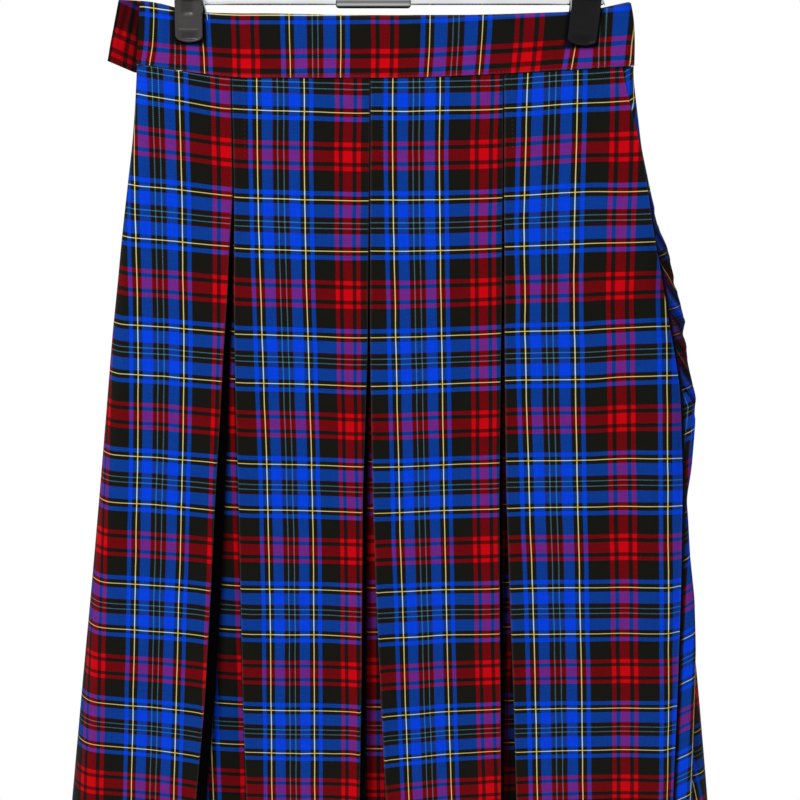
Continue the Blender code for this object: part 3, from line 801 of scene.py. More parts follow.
def add_stitches(name, line, normal, spacing, length):
    """Sewing thread along a line: each stitch is a long thin ellipsoid, half sunk in the cloth.

    A point of a stitch is middle + length/2 cos(u) along + THREAD sin(u) (cos(v) across + 0.7 sin(v) out).
    """
    steps = np.linalg.norm(np.diff(line, axis=0), axis=-1)
    travelled = np.concatenate([[0], np.cumsum(steps)])
    places = np.arange(spacing / 2, travelled[-1], spacing)
    middle = read_off(line, travelled, places)
    along = unit(read_off(line, travelled, places + 0.5) - middle)
    out = read_off(normal, travelled, places)
    out = unit(out - (out * along).sum(-1, keepdims=True) * along)
    u = np.linspace(0, np.pi, STITCH_RINGS + 2)[1:-1, None]
    v = np.linspace(0, 2 * np.pi, STITCH_SIDES, endpoint=False)[None, :]
    width = THREAD * np.sin(u)
    rings = np.stack([length / 2 * np.cos(u) + 0 * v, width * np.cos(v), 0.7 * width * np.sin(v)], axis=-1)
    shape = np.concatenate([[[length / 2, 0, 0]], rings.reshape(-1, 3), [[-length / 2, 0, 0]]])
    frames = np.stack([along, np.cross(out, along), out], axis=1)
    points = (middle[:, None] + shape @ frames).reshape(-1, 3)
    body = ring_faces(STITCH_RINGS, STITCH_SIDES) + 1
    tip, first = len(shape) - 1, np.arange(STITCH_SIDES) + 1
    last = first + (STITCH_RINGS - 1) * STITCH_SIDES
    caps = [np.stack([0 * first, first, np.roll(first, -1)], axis=-1)]
    caps += [np.stack([0 * last + tip, np.roll(last, -1), last], axis=-1)]
    triangles = np.concatenate([body[:, [0, 1, 2]], body[:, [0, 2, 3]], *caps])
    faces = (triangles[None] + len(shape) * np.arange(len(places))[:, None, None]).reshape(-1, 3)
    piece = add_mesh(name, points, faces, bpy.data.materials["sewing thread"])
    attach(piece, "root")


def both_faces(stripes, wear_and_highlight, painted_shade):
    """The stripes' places and the marks of a wall, the same on its outer and its inner face."""
    uv = np.concatenate([stripes.reshape(-1, 2)] * 2)
    return uv, {"wear_and_highlight": np.concatenate([wear_and_highlight.ravel()] * 2), "painted_shade": np.concatenate([painted_shade.ravel()] * 2)}


def add_cloth(name, points, stripes, material, wear_and_highlight, painted_shade, sewn_column=None):
    """A cloth piece in place of its node: a thin wall on the node's outer face, with a turned-up hem.

    Its creases move the flat cloth along its normal, and not the cloth that is turned back behind it. The
    stitches that hold a pleat shut below the waist run down sewn_column.
    """
    normal = outward(points)
    drop = np.linspace(SKIRT_TOP, SKIRT_LENGTH, points.shape[1])
    relief = 0 * points[..., 0]
    if name in CREASES:
        lines = list(zip(*table(CREASES[name]).values()))
        lit = 0.4 if name.endswith("4") else 0.01 * HIDDEN_DARK
        flat = (wear_and_highlight == 0) & (painted_shade < lit) & (np.abs(points[..., 1]) > 3.5)
        relief = crease(points[..., 0], drop + relief, lines) * flat
    centre = points + normal * ((MODEL_CLOTH - CLOTH) / 2 + relief)[..., None]
    turned_up = HEM_THICK * smooth((drop - SKIRT_LENGTH + HEM_HEIGHT) / 2)
    mesh_points, quads = wall_mesh(centre, normal, CLOTH / 2, CLOTH / 2 + turned_up)
    piece = add_mesh(f"cloth_{name}", mesh_points, quads, material, *both_faces(stripes, wear_and_highlight, painted_shade))
    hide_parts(name)
    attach(piece, "root")
    face = centre + normal * CLOTH / 2
    if sewn_column is not None:
        sewn = drop < PLEAT_SEWN_TO
        line = face[sewn_column, sewn]
        add_stitches(f"pleat_stitches_{name}", line, normal[sewn_column, sewn], *PLEAT_STITCHES)
    row = int(np.argmin(np.abs(drop - SKIRT_LENGTH + HEM_HEIGHT - 2)))
    shown = np.flatnonzero(painted_shade[:, row] < 0.7)
    add_stitches(f"hem_stitches_{name}", face[shown, row], normal[shown, row], *HEM_STITCHES)


# The hollow beside each pleat's left fold, painted black as its shadow: its width at the hem, how soon it
# opens below the waist, how far the underlay sinks there, and how dark the rest of the underlay is painted as
# shade.
HOLLOW = table("""
pleat  width  opens  sinks  dark
1      6.2    120    3.0    0.0
2      3.8    150    2.0    0.28
3      3.4    190    1.5    0.66
""")


def hollow(section, number, left, drop):
    """Depth and painted shade of an underlay. The hollow, painted as shadow, is width (1 - exp(-(drop -
    opens) / 140)) wide.
    """
    x, y, wear_and_highlight, _ = section
    width, opens, sinks, dark = (HOLLOW[name][number - 1] for name in ("width", "opens", "sinks", "dark"))
    reach = width * (1 - np.exp(-np.clip(drop - opens, 0, None) / 140)) + 0.6
    inside = 1 - smooth((x - left - reach) / 1.2 + 0.5)
    return y + sinks * inside * smooth((drop - opens) / 200), wear_and_highlight, dark + (1.0 - dark) * inside


def add_panels(face, columns, material):
    """Panels 1 to 3 and the underlays 1 to 3 of the front or the back."""
    drop = rows()
    back = face == "back"
    for number in (1, 2, 3):
        section, column = panel_section(columns, number, drop)
        if back:
            section, column = to_back(section), len(section[0]) - 1 - column
        points = to_points(section, drop, face)
        teal = BACK_TEAL[number] if back else str(number)
        stripes = stripes_on(points, drop, column, teal, shift=-BACK_SINK * back, run_back=back)
        if not back:
            left = at(columns, "left" if number == 1 else f"b{number - 1}", drop)
            right = at(columns, f"a{number}", drop)
            stripes = drawn_to_photo(stripes, points, drop, number, left, right)
        sewn = len(points) - 1 - SEWN_COLUMN if back else SEWN_COLUMN
        sewn = None if number == 1 else sewn
        add_cloth(f"{face}_panel_{number}", points, stripes, material, *section[2:], sewn)
        left, right, reach, under = pleat(columns, number, drop)
        section = run(left - reach, right + reach, under, UNDERLAY_COLUMNS)
        section = [section[0], *hollow(section, number, left, drop)]
        column = UNDERLAY_COLUMNS // 2
        if back:
            section, column = to_back(section), len(section[0]) - 1 - column
        points = to_points(section, drop, face)
        teal = (BACK_UNDER_TEAL if back else UNDER_TEAL)[number]
        shift = UNDER_SHIFT - BACK_SINK * back
        stripes = stripes_on(points, drop, column, teal, shift=shift, run_back=back)
        stripes[..., 1] += np.interp(drop, UNDER_RISE["drop"], UNDER_RISE[f"u{number}"])
        add_cloth(f"{face}_underlay_{number}", points, stripes, material, *section[2:])


def free_edge(drop):
    """Where panel 4's free edge is across."""
    return at(FRONT, "edge", drop) - at(EDGE_PULL, "in", drop)


def edge_curl(drop):
    """How far panel 4's free edge curls back: nothing above the hip and EDGE_CURL well below it."""
    return EDGE_CURL * smooth((drop - 330) / 120)


def add_front_edge_panel(material):
    """Panel 4 of the front, ending in a free edge over the side panel with wear and a painted highlight at
    its rim.
    """
    drop = rows()
    parts, start = panel_section(FRONT, 4, drop)
    left, edge = at(FRONT, "b3", drop), free_edge(drop)
    depth_at = panel_depth(OUTER_LIFT * at(BODY, "lift3", drop), left, 0.0, edge, drop)
    flat = [values[1:] for values in run(start, edge, depth_at, 70)]
    flat[1] = flat[1] + edge_curl(drop) * smooth((flat[0] - edge + 14) / 14) ** 2
    # Wear and a painted highlight along the rim.
    flat[2] = 0.3 * smooth((flat[0] - edge + 1.2) / 1.2)
    # Painted shade over the hip, darker towards the free edge.
    over_hip = smooth((drop - 140) / 60) * smooth((400 - drop) / 90)
    flat[3] = EDGE_DARK * smooth((flat[0] - edge + 16) / 15) * over_hip
    section = joined(*parts, flat)
    points = to_points(section, drop)
    stripes = stripes_on(points, drop, 55, "4", stretch=at(HIP_STRETCH, "across", drop))
    stripes = drawn_to_photo(stripes, points, drop, 4, left, edge)
    stripes[..., 1] -= EDGE_SINK * smooth((section[0] - edge + 50) / 45)
    add_cloth("front_panel_4", points, stripes, material, *section[2:], SEWN_COLUMN)


# The side panel's folds, which run down steeply from panel 4's edge to the side. from and to are the drops
# between which a fold ends at the side, inner and outer are the places across the tartan of its two long
# edges, and dark is the painted shade on it. The folds slant by FOLD_SLANT over the strip's width, and the
# creases between them are painted dark as shade, CREASE_REACH wide.
STRIP_FOLDS = table("""
from   to     height  inner  outer  dark
146.0  160.0  0.5     15.0   6.0    0.90
160.0  177.5  0.8     15.0   4.0    0.86
177.5  199.0  1.5     54.0   77.5   0.78
199.0  216.0  1.3     71.5   82.5   0.86
216.0  232.0  1.6     5.5    14.0   0.50
232.0  239.0  0.6     23.0   16.0   0.95
239.0  257.0  1.4     36.0   48.0   0.72
257.0  275.0  1.3     -8.0   3.0    0.88
275.0  292.0  1.0     4.0    13.6   0.60
""")
FOLD_SLANT = 24.0
CREASE_REACH = 3.4

# How much further down the tartan the strip is than its drop, because it is gathered over the hip.
STRIP_GATHERED = table("""
drop   more
120.0  0.0
177.0  -12.0
216.0  12.0
235.0  29.4
275.5  51.9
300.0  53.5
""")

# Its level lines climb towards the side by this share of the way.
STRIP_RISE = 0.5

# How far across the tartan the strip lies where it isn't folded.
STRIP_ACROSS = table("""
drop  across
100   36.0
150   62.0
290   6.0
330   7.5
400   4.5
720   4.0
""")

# How far out the strip's edge stands past its solid, by drop.
STRIP_EDGE = table("""
drop   out
144    0.0
149    -1.3
155    -1.3
158    -0.7
162    -0.6
164    0.0
168    0.7
172    1.4
181    1.5
184    0.7
194    0.7
199    -0.6
201    -0.6
205    0.4
208    0.0
215    0.4
218    0.0
224    0.0
227    1.4
230    0.8
233    0.7
235    0.0
238    0.0
240    0.7
246    0.7
248    0.0
286    0.0
289    -0.7
298    -0.7
300    0.0
""")


def strip_folds(share, drop):
    """The strip's folds at a share of its width: height, place across the tartan, painted shade and painted
    highlights.

    A fold rises as half a sine across its width, and the creases between folds are painted dark as shade. The
    last value is true where there is a fold.
    """
    place = drop + FOLD_SLANT * (1 - share)
    height, across, dark, top = 0 * place, 0 * place, 0 * place, 0 * place
    for first, last, high, inner, outer, dim in zip(*STRIP_FOLDS.values()):
        within = (place >= first) & (place < last)
        along = np.clip((last - place) / (last - first), 0, 1)
        # The painted shade is darker in the creases beside a fold and lighter where lit marks its top, which
        # also gets a painted highlight.
        beside = np.exp(-np.minimum(place - first, last - place) / CREASE_REACH)
        lit = np.exp(-(((along - 0.6) / 0.16) ** 2))
        height += within * high * np.sin(np.pi * along) ** 0.7
        across += within * (inner + (outer - inner) * along)
        dark += within * (dim + (GAP_DARK - dim) * np.clip(beside, 0, 1) - 0.30 * dim * lit)
        top += within * lit * 0.5
    folded = (place >= STRIP_FOLDS["from"][0]) & (place < STRIP_FOLDS["to"][-1])
    return height, across, dark, top, folded


def add_side_panel(material):
    """The strip behind panel 4's edge, folded over the hip and turned back at the side.

    It runs straight out to flat_end, and its turn is 84 degrees of a circle with the radius SIDE_TURN.
    """
    drop = rows(step=SIDE_ROW_STEP)
    edge = free_edge(drop)
    out = at(SIDE, "out", drop - SIDE_RISE, 5.0) + at(STRIP_EDGE, "out", drop, 1.0)
    behind = BEHIND_LAP - at(BODY, "depth", drop) + edge_curl(drop) * 1.1
    under = list(run(edge - LAP, edge - 1, behind, 10))
    # The part behind panel 4 is painted dark as shade.
    under[3] = under[3] + 0.8
    flat_end = out - MODEL_CLOTH / 2 - SIDE_TURN
    share = np.linspace(0, 1, 27)[1:, None]
    angle = np.radians(np.linspace(0, 84, 12))[1:, None]
    x = np.concatenate([edge + (flat_end - edge) * share, flat_end + SIDE_TURN * np.sin(angle)])
    y = np.concatenate([behind + 0 * share, behind + SIDE_TURN * (1 - np.cos(angle))])
    over = np.clip((x - edge) / (flat_end + SIDE_TURN - edge), 0, 1)
    ridge, across, dark, top, folded = strip_folds(over, drop)
    ridge = ridge * np.clip((out - edge - 4) / 5, 0, 1) * smooth(over * 1.6)
    section = joined(under, [x + 0.05 * ridge, y - 0.8 * ridge, 0 * x, 0 * x])
    points = to_points(section, drop)
    stripes = stripes_on(points, drop, 14, SIDE_TEAL)
    climb = STRIP_RISE * (section[0] - (edge + out) / 2)
    stripes[..., 1] += at(STRIP_GATHERED, "more", drop, 3.0) + climb
    stripes[..., 0] += np.interp(drop, STRIP_ACROSS["drop"], STRIP_ACROSS["across"])
    # A painted shadow beside panel 4's edge, and the folds' painted shade and painted highlights.
    shadow = 1 - smooth((section[0] - edge - 1.6) / 3.6)
    wear_and_highlight, painted_shade = section[2], section[3] + GAP_DARK * shadow * smooth((drop - 130) / 60)
    shown = slice(len(under[0]), None)
    stripes[shown, :, 0] = np.where(folded, across, stripes[shown, :, 0])
    wear_and_highlight[shown] = np.maximum(wear_and_highlight[shown], folded * top)
    painted_shade[shown] = np.maximum(painted_shade[shown], folded * dark)
    add_cloth("side_panel", points, stripes, material, wear_and_highlight, np.clip(painted_shade, 0, GAP_DARK))


def add_back_wrap_panel(material):
    """Panel 4 of the back, which wraps round the right side and ends behind the side panel."""
    drop = rows()
    depth, front_y = at(BODY, "depth", drop), at(BODY, "wrap", drop)
    out, inner = at(BODY, "turn", drop), at(FRONT, "edge", drop)
    middle, half = (front_y + depth) / 2, (depth - front_y) / 2
    round_by = np.minimum(at(BODY, "round", drop), 2.2 * half)
    centre_x = out - MODEL_CLOTH / 2 - round_by
    hidden = [values[:-1] for values in run(inner - LAP, centre_x, front_y, 12)]
    angle = np.radians(np.linspace(-90, 90, 33))[:, None]
    turn = [centre_x + round_by * np.cos(angle), middle + half * np.sin(angle)] + [0 * angle * drop] * 2
    left = at(BACK, "b3", drop)
    depth_at = panel_depth(OUTER_LIFT * at(BODY, "lift3", drop), left, 0.0, out, drop)
    parts, start = panel_section(BACK, 4, drop)
    flat = to_back([values[1:-1] for values in run(start, centre_x, depth_at, 60)])
    section = joined(hidden, turn, flat, to_back(joined(*parts)))
    points = to_points(section, drop, "back")
    column = len(hidden[0]) + len(turn[0]) + 28
    stripes = stripes_on(points, drop, column, BACK_TEAL[4], shift=-BACK_SINK, run_back=True)
    add_cloth("back_panel_4", points, stripes, material, *section[2:], len(points) - 1 - SEWN_COLUMN)


# The waistband

# Where the tartan's lines are along the front band, at its top edge and at its foot: how far each is from the
# first teal pair in the tartan, in its own millimetres. Between top and foot they move by share ^ 1.8.
BAND_LINES = table("""
tartan  top     foot
-60.0   -194.1  -197.1
-18.35  -154.3  -158.3
0.0     -138.5  -138.1
18.35   -121.1  -119.2
45.5    -94.0   -93.8
53.9    -86.6   -86.5
81.05   -59.4   -59.1
99.4    -41.2   -41.0
117.75  -22.9   -23.1
144.9   4.4     4.1
153.3   11.6    11.1
180.45  39.7    38.0
198.8   58.1    56.5
217.15  77.1    74.8
244.3   106.1   103.0
252.7   113.4   110.8
279.85  145.0   139.7
298.2   161.8   161.1
316.55  183.4   180.2
345.0   210.1   206.9
""")

# The band's level lines: how far each is above the middle of the wide red, and where that is in the tartan.
BAND_LEVELS = table("""
above   tartan
-20.0   -19.0
-10.2   -9.55
-6.8    -6.35
-3.4    -3.55
3.4     3.55
6.8     6.35
10.2    9.55
27.2    24.75
30.0    27.95
33.3    31.15
60.0    56.0
""")

# How far the middle of the wide red is above the band's foot, along the front band. The tab has its own.
BAND_RED = table("""
x       above
-165.0  5.6
-150.0  6.4
-138.0  7.2
-121.0  8.4
-90.0   9.4
8.0     9.7
60.0    10.0
107.0   10.5
172.0   10.8
""")

# The wide red's middle in the tartan. The back band's is TAB_RED above its foot, and the place TAB_ALONG of
# the tartan is at TAB_X.
RED_MIDDLE = 48.05
TAB_RED = 15.0
TAB_X, TAB_ALONG = -179.0, 49.7


def band_stripes(x, px, share, height, face):
    """Where each point of a band is in the tartan. The tab's lines run parallel to its slanted end."""
    above_foot = (1 - share) * height
    if face == "back":
        along = x - TAB_X + TAB_ALONG
        red = TAB_RED + 0 * px
    else:
        top, foot = BAND_LINES["top"][:, None], BAND_LINES["foot"][:, None]
        lines = top + (foot - top) * share[0] ** 1.8
        along = [np.interp(px[:, n], lines[:, n], BAND_LINES["tartan"]) for n in range(share.shape[1])]
        along = np.stack(along, axis=1)
        red = np.interp(px, BAND_RED["x"], BAND_RED["above"])
    up = RED_MIDDLE - np.interp(above_foot - red, BAND_LEVELS["above"], BAND_LEVELS["tartan"])
    return np.stack([up, along], axis=-1)


# Soft ridges and troughs in the band, for each face: the ends of each as x and share of the height, its half
# width in millimetres and its height.
BAND_FOLDS = {
    "front": """
x0      s0    x1      s1    width  height
-148.0  0.10  -150.0  0.80  2.2    0.5
-112.0  0.12  -108.0  0.95  3.0    0.5
-100.0  0.70  -70.0   0.85  3.0    -0.4
20.0    0.60  60.0    0.90  4.0    0.4
96.0    0.10  124.0   0.75  3.5    -0.7
112.0   0.15  132.0   0.90  3.0    0.6
128.0   0.55  134.0   1.00  2.0    -0.6
163.0   0.10  158.0   0.90  2.5    0.5
172.0   0.05  170.0   0.60  2.5    -0.4
""",
    "back": """
x0      s0    x1      s1    width  height
-182.0  0.00  -183.5  0.85  1.6    0.8
-179.5  0.02  -181.0  0.60  1.1    -0.8
-176.5  0.00  -178.0  0.75  1.4    0.9
-173.0  0.05  -176.0  0.95  1.5    -0.9
-169.5  0.00  -171.0  0.50  1.5    0.8
-140.0  0.10  -142.0  0.90  3.0    -0.5
-60.0   0.20  -64.0   0.85  4.0    0.4
30.0    0.10  36.0    0.90  4.0    -0.4
110.0   0.15  116.0   0.95  3.0    0.5
165.0   0.10  162.0   0.90  2.5    -0.5
""",
}


def from_clips(x):
    """How far each place along the band is from the nearer clip's middle."""
    return np.min([np.abs(x - centre) for centre in CLIP_CENTRES.values()], axis=0)


def clip_shade(px, z):
    """Painted shadow on the band beside a clip: full at the jaw's outline and gone 3.8 mm away."""
    nearest = 99.0 + 0 * px
    for side, centre in CLIP_CENTRES.items():
        angle = math.radians(JAW_TILT[side])
        drop = -BAR_BELOW_HOOK - z
        x = px - centre - JAW_SHIFT[side] + drop * math.tan(angle)
        low = drop - JAW_REACH[side] - WAIST_BELOW_BAR
        beside = np.clip(np.abs(x) - JAW_HALF[side] + CLIP_DARK_CORNER, 0, None)
        below = np.clip(low + CLIP_DARK_CORNER, 0, None)
        nearest = np.minimum(nearest, np.hypot(beside, below) - CLIP_DARK_CORNER)
    return CLIP_DARK * (1 - smooth((nearest - CLIP_DARK_FROM) / CLIP_DARK_RUN))


def band_depth(x, share):
    """Depth of the band's middle: pinched at the clips, slacker between them, flaring to the skirt."""
    slack = BAND_SLACK * smooth((from_clips(x) - SLACK_FROM) / SLACK_RUN)
    flare = smooth((share - FLARE_FROM) / (1 - FLARE_FROM))
    return BAND_PINCHED + slack * (1 - flare) + BAND_FLARE * flare


def band_surface(x, face, lean):
    """Half of the band's middle surface, over x and the share of its height, turned in at its right end."""
    share = np.linspace(0, 1, 37)
    x, share = np.meshgrid(x, share, indexing="ij")
    corner = BAND_RIGHT - BAND_THICK / 2 - BAND_CORNER
    angle = np.clip((x - corner) / BAND_CORNER, 0, 1) * np.pi / 2
    depth = band_depth(x, share)
    y = -SEAM_GAP / 2 - (depth - SEAM_GAP / 2) * np.cos(angle)
    px = np.minimum(x, corner) + BAND_CORNER * np.sin(angle)
    px = px + lean * (0.5 - share) * smooth((-140 - x) / 25)
    px = px - RIGHT_LEAN * (1 - share) ** 3 * smooth((x - 160) / 20)
    top = at(TOP_EDGE, "lift", px, 4.0)
    z = WAIST_Z + top * (1 - share) + (raised(px, face) - BAND_HEIGHT) * share
    if face == "back":
        z = z - TAB_DROOP * share * smooth((-145 - x) / 20) * np.clip((x - TAB_END) / 18, 0, 1)
    return np.stack([px, y, z], axis=-1), share


def band_folds(face):
    """A face's folds as creases, with their shares of the height as millimetres."""
    columns = table(BAND_FOLDS[face])
    return [
        (x0, s0 * BAND_HEIGHT, x1, s1 * BAND_HEIGHT, width, height)
        for x0, s0, x1, s1, width, height in zip(*columns.values())
    ]


def add_band(face, start, lean, material):
    """Half of the waistband: a folded strip, round at its top edge, with soft folds between the clips."""
    corner = BAND_RIGHT - BAND_THICK / 2 - BAND_CORNER
    turn = np.linspace(corner, BAND_RIGHT - BAND_THICK / 2, 8)
    x = np.concatenate([np.linspace(start, corner, 260)[:-1], turn])
    centre, share = band_surface(x, face, lean)
    height = np.linalg.norm(centre[:, -1] - centre[:, 0], axis=-1)[:, None]
    x = np.broadcast_to(x[:, None], share.shape)
    stripes = band_stripes(x, centre[..., 0], share, height, face)
    relief = crease(x, share * BAND_HEIGHT, band_folds(face)) * smooth((BAND_RIGHT - 8 - x) / 6)
    relief = relief * smooth((from_clips(x) - JAW_WIDTH / 2) / 3)
    painted_shade = clip_shade(centre[..., 0], centre[..., 2])
    if face == "back":
        centre[..., 1] *= -1
        # The tab is painted darker as shade, most at its top and beside the front band's end, and lighter on
        # its ridges as a painted highlight.
        tab = smooth((BAND_LEFT + 4 - x) / 3)
        shade = 0.30 + 0.35 * smooth((0.62 - share) / 0.3) + 0.35 * smooth((x + 174) / 7)
        painted_shade = np.clip(np.maximum(painted_shade, tab * shade) - 0.25 * tab * relief, 0, GAP_DARK)
        parts = [part[::-1] for part in (centre, stripes, share, relief, painted_shade)]
        centre, stripes, share, relief, painted_shade = parts
    normal = outward(centre)
    centre = centre + normal * relief[..., None]
    fall = np.clip(share * height.mean() / (BAND_THICK / 2), 0, 1)
    half = BAND_THICK / 2 * np.sqrt(1 - (1 - fall) ** 2 * 0.96)
    points, quads = wall_mesh(centre, normal, half, half)
    # Wear and a painted highlight along the band's top edge and at its foot.
    wear_and_highlight = 0.5 * (1 - smooth(share * 14)) + 0.35 * smooth((share - 0.975) / 0.02)
    piece = add_mesh(f"cloth_waistband_{face}", points, quads, material, *both_faces(stripes, wear_and_highlight, painted_shade))
    foot = np.searchsorted(share[0], 0.965)
    line = (centre + normal * half[..., None])[:, foot]
    add_stitches(f"stitches_waistband_{face}", line, normal[:, foot], *BAND_STITCHES)
    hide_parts(f"waistband_{face}")
    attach(piece, "root")


# The clips' jaws


def jaw_outline(across, half, foot, top):
    """The jaw's foot and top at each place across, from -1 to 1: shallow arcs with rounded corners."""
    past = np.clip((np.abs(across) * half - half + JAW_CORNER) / JAW_CORNER, 0, 1)
    corner = JAW_CORNER * (1 - np.sqrt(1 - past**2))
    return foot + JAW_SAG * across**2 + corner, top - 0.8 * across**2 - corner


def jaw_relief(x, above, from_rim, half, side):
    """Height of a jaw's face: a rounded rim, a sunk middle, a dished lip, a ridge and a finger groove.

    x is across in millimetres and above is the height above the foot. The lip and the groove have soft
    square corners, exp(-u^4), and the ridge is a bell, exp(-u^2).
    """
    rim = JAW_BEVEL - np.sqrt(np.clip(JAW_BEVEL**2 - np.clip(JAW_BEVEL - from_rim, 0, None) ** 2, 0, None))
    sunk = SUNK * smooth((from_rim - SUNK_FROM) / 0.5)
    lip = LIP * np.exp(-((x / (half * 0.62)) ** 4) - ((above - LIP_ABOVE) / LIP_HALF) ** 4)
    ridge = RIDGE * np.exp(-(((above - RIDGE_ABOVE) / RIDGE_HALF) ** 2)) * smooth(half - 2.4 - np.abs(x))
    groove = GROOVE * np.exp(-(((x + 0.9) / (half * 0.46)) ** 4))
    groove = groove * smooth((above - GROOVE_ABOVE) / GROOVE_RUN)
    if side == "right":
        groove = RIGHT_GROOVE * groove
    return -rim - sunk - lip + ridge - groove


def add_jaw(side, face, material):
    """One moulded jaw in place of its node: a plate over the band and the sleeve, with a shaped face.

    It is drawn upright over across, from -1 to 1, and the height above its foot, and is then turned about
    the bar's middle by its tilt. Its painted shade darkens what is sunk.
    """
    half, reach = JAW_HALF[side], JAW_REACH[side]
    across = np.sin(np.linspace(-np.pi / 2, np.pi / 2, 61))[:, None]
    up = (1 - np.cos(np.linspace(0, np.pi, 121)[None, :])) / 2
    low, high = jaw_outline(across, half, 0.0, reach + JAW_TOP)
    above = low + (high - low) * (0.35 * up + 0.65 * np.linspace(0, 1, 121)[None, :])
    x = across * half + 0 * above
    pinch = BAND_PINCHED + BAND_THICK / 2 + RUNNING_GAP + JAW_THICK / 2
    sleeve = SLEEVE_RADIUS + RUNNING_GAP + JAW_THICK / 2
    heights = [0, reach, reach + SLEEVE_ABOVE_REACH, reach + JAW_TOP]
    depth = np.interp(above, heights, [pinch, pinch + 0.3, sleeve, sleeve + 1.2])
    rim_x = half * (1 - np.abs(across))
    from_rim = np.minimum(np.minimum(rim_x + 0 * above, above - low), high - above)
    relief = jaw_relief(x, above, from_rim, half, side)
    if face == "back":
        x = x + BACK_JAW_SHIFT[side]
    facing = 1 if face == "back" else -1
    centre = np.stack([x, facing * depth, WAIST_Z - reach + above], axis=-1)
    angle = math.radians(JAW_TILT[side])
    across_bar, over_bar = centre[..., 0].copy(), centre[..., 2] + BAR_BELOW_HOOK
    shift = CLIP_CENTRES[side] + JAW_SHIFT[side]
    centre[..., 0] = shift + across_bar * math.cos(angle) + over_bar * math.sin(angle)
    centre[..., 2] = over_bar * math.cos(angle) - across_bar * math.sin(angle) - BAR_BELOW_HOOK
    normal = np.zeros_like(centre)
    normal[..., 1] = facing
    inner = JAW_THICK / 2 - 0.5 * (1 - smooth(from_rim / 0.5))
    # Painted shade in the face's hollows.
    sunk = 0.55 * np.clip(-relief - 0.3, 0, 1.2)
    parts = [part[:, ::-1] for part in (centre, JAW_THICK / 2 + relief, inner, sunk)]
    if face == "back":
        parts = [part[::-1] for part in parts]
    centre, outer, inner, sunk = parts
    points, quads = wall_mesh(centre, normal, outer, inner)
    marks = {"painted_shade": np.concatenate([sunk.ravel(), 0 * sunk.ravel()])}
    piece = add_mesh(f"moulded_{side}_jaw_{face}", points, quads, material, marks=marks, sharp=40)
    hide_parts(f"clip_{side}_jaw_{face}")
    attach(piece, "root")


# The springs' wire arms, which show beside the jaws: points as x right of the clip's middle, y and drop below
# the bar, for each arm. Each wire is WIRE_RINGS circles of WIRE_SIDES points.
WIRE_ARMS = {
    "left": [
        [(10.2, -7.0, -12.0), (10.3, -7.4, 1.0), (11.6, -6.2, 6.0), (12.4, -4.6, 11.0), (12.2, -3.4, 13.0)],
    ],
    "right": [
        [(-10.9, -7.0, -12.0), (-11.0, -7.2, 1.0), (-10.9, -5.6, 6.0), (-10.6, -4.4, 9.4)],
        [(10.8, -6.8, -12.0), (11.0, -6.6, -1.0), (12.3, -6.0, 1.2), (12.9, -5.6, 2.6)],
    ],
}
WIRE_RINGS, WIRE_SIDES = 40, 12


def add_wire_arms(side, material):
    """The ends of the spring's wire: circles of WIRE_RADIUS along a smoothed path, closed at its ends."""
    for number, stops in enumerate(WIRE_ARMS[side], 1):
        stops = np.array(stops)
        share, corners = np.linspace(0, len(stops) - 1, WIRE_RINGS), np.arange(len(stops))
        path = np.mean([read_off(stops, corners, share + step) for step in (-0.3, 0, 0.3)], axis=0)
        path[:, 0] += CLIP_CENTRES[side]
        path[:, 2] = -BAR_BELOW_HOOK - path[:, 2]
        ahead = unit(np.gradient(path, axis=0))
        side_way = unit(np.cross(ahead, [0.0, 1.0, 0.0]))[:, None]
        up_way = np.cross(side_way, ahead[:, None])
        turn = np.linspace(0, 2 * np.pi, WIRE_SIDES, endpoint=False)[None, :, None]
        end = np.minimum(np.arange(WIRE_RINGS), np.arange(WIRE_RINGS)[::-1])
        radius = WIRE_RADIUS * np.sqrt(1 - np.clip(1 - end / 2, 0, 1) ** 2 * 0.999)[:, None, None]
        points = path[:, None] + (side_way * np.cos(turn) + up_way * np.sin(turn)) * radius
        quads = ring_faces(WIRE_RINGS, WIRE_SIDES)[:, [0, 3, 2, 1]]
        piece = add_mesh(f"spring_wire_{side}_{number}", points.reshape(-1, 3), quads, material)
        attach(piece, "root")


# Materials


def new_material(name):
    """A new material, its node tree and its shader."""
    material = bpy.data.materials.new(name)
    material.use_nodes = True
    return material, material.node_tree, material.node_tree.nodes["Principled BSDF"]


def link(tree, value, socket):
    """Join a socket to another, or set it to a number or a colour."""
    if isinstance(value, bpy.types.NodeSocket):
        tree.links.new(value, socket)
    else:
        socket.default_value = value


def sums(tree, operation, *values, clamp=False):
    """A Math node on sockets or numbers."""
    node = tree.nodes.new("ShaderNodeMath")
    node.operation = operation
    node.use_clamp = clamp
    for value, socket in zip(values, node.inputs):
        link(tree, value, socket)
    return node.outputs[0]


def blend_colours(tree, share, first, second, kind="MIX"):
    """A colour Mix node on sockets, numbers or colours."""
    node = tree.nodes.new("ShaderNodeMix")
    node.data_type = "RGBA"
    node.blend_type = kind
    node.clamp_result = True
    link(tree, share, node.inputs[0])
    for value, socket in ((first, node.inputs[6]), (second, node.inputs[7])):
        link(tree, (*value, 1) if isinstance(value, tuple) else value, socket)
    return node.outputs[2]


def noise(tree, vector, scale, detail=2.0):
    """Soft noise from 0 to 1."""
    node = tree.nodes.new("ShaderNodeTexNoise")
    node.inputs["Scale"].default_value = scale
    node.inputs["Detail"].default_value = detail
    tree.links.new(vector, node.inputs["Vector"])
    return node.outputs["Fac"]


def stretched(tree, vector, scale):
    """A place with each of its three values multiplied."""
    node = tree.nodes.new("ShaderNodeMapping")
    node.inputs["Scale"].default_value = scale
    tree.links.new(vector, node.inputs["Vector"])
    return node.outputs["Vector"]


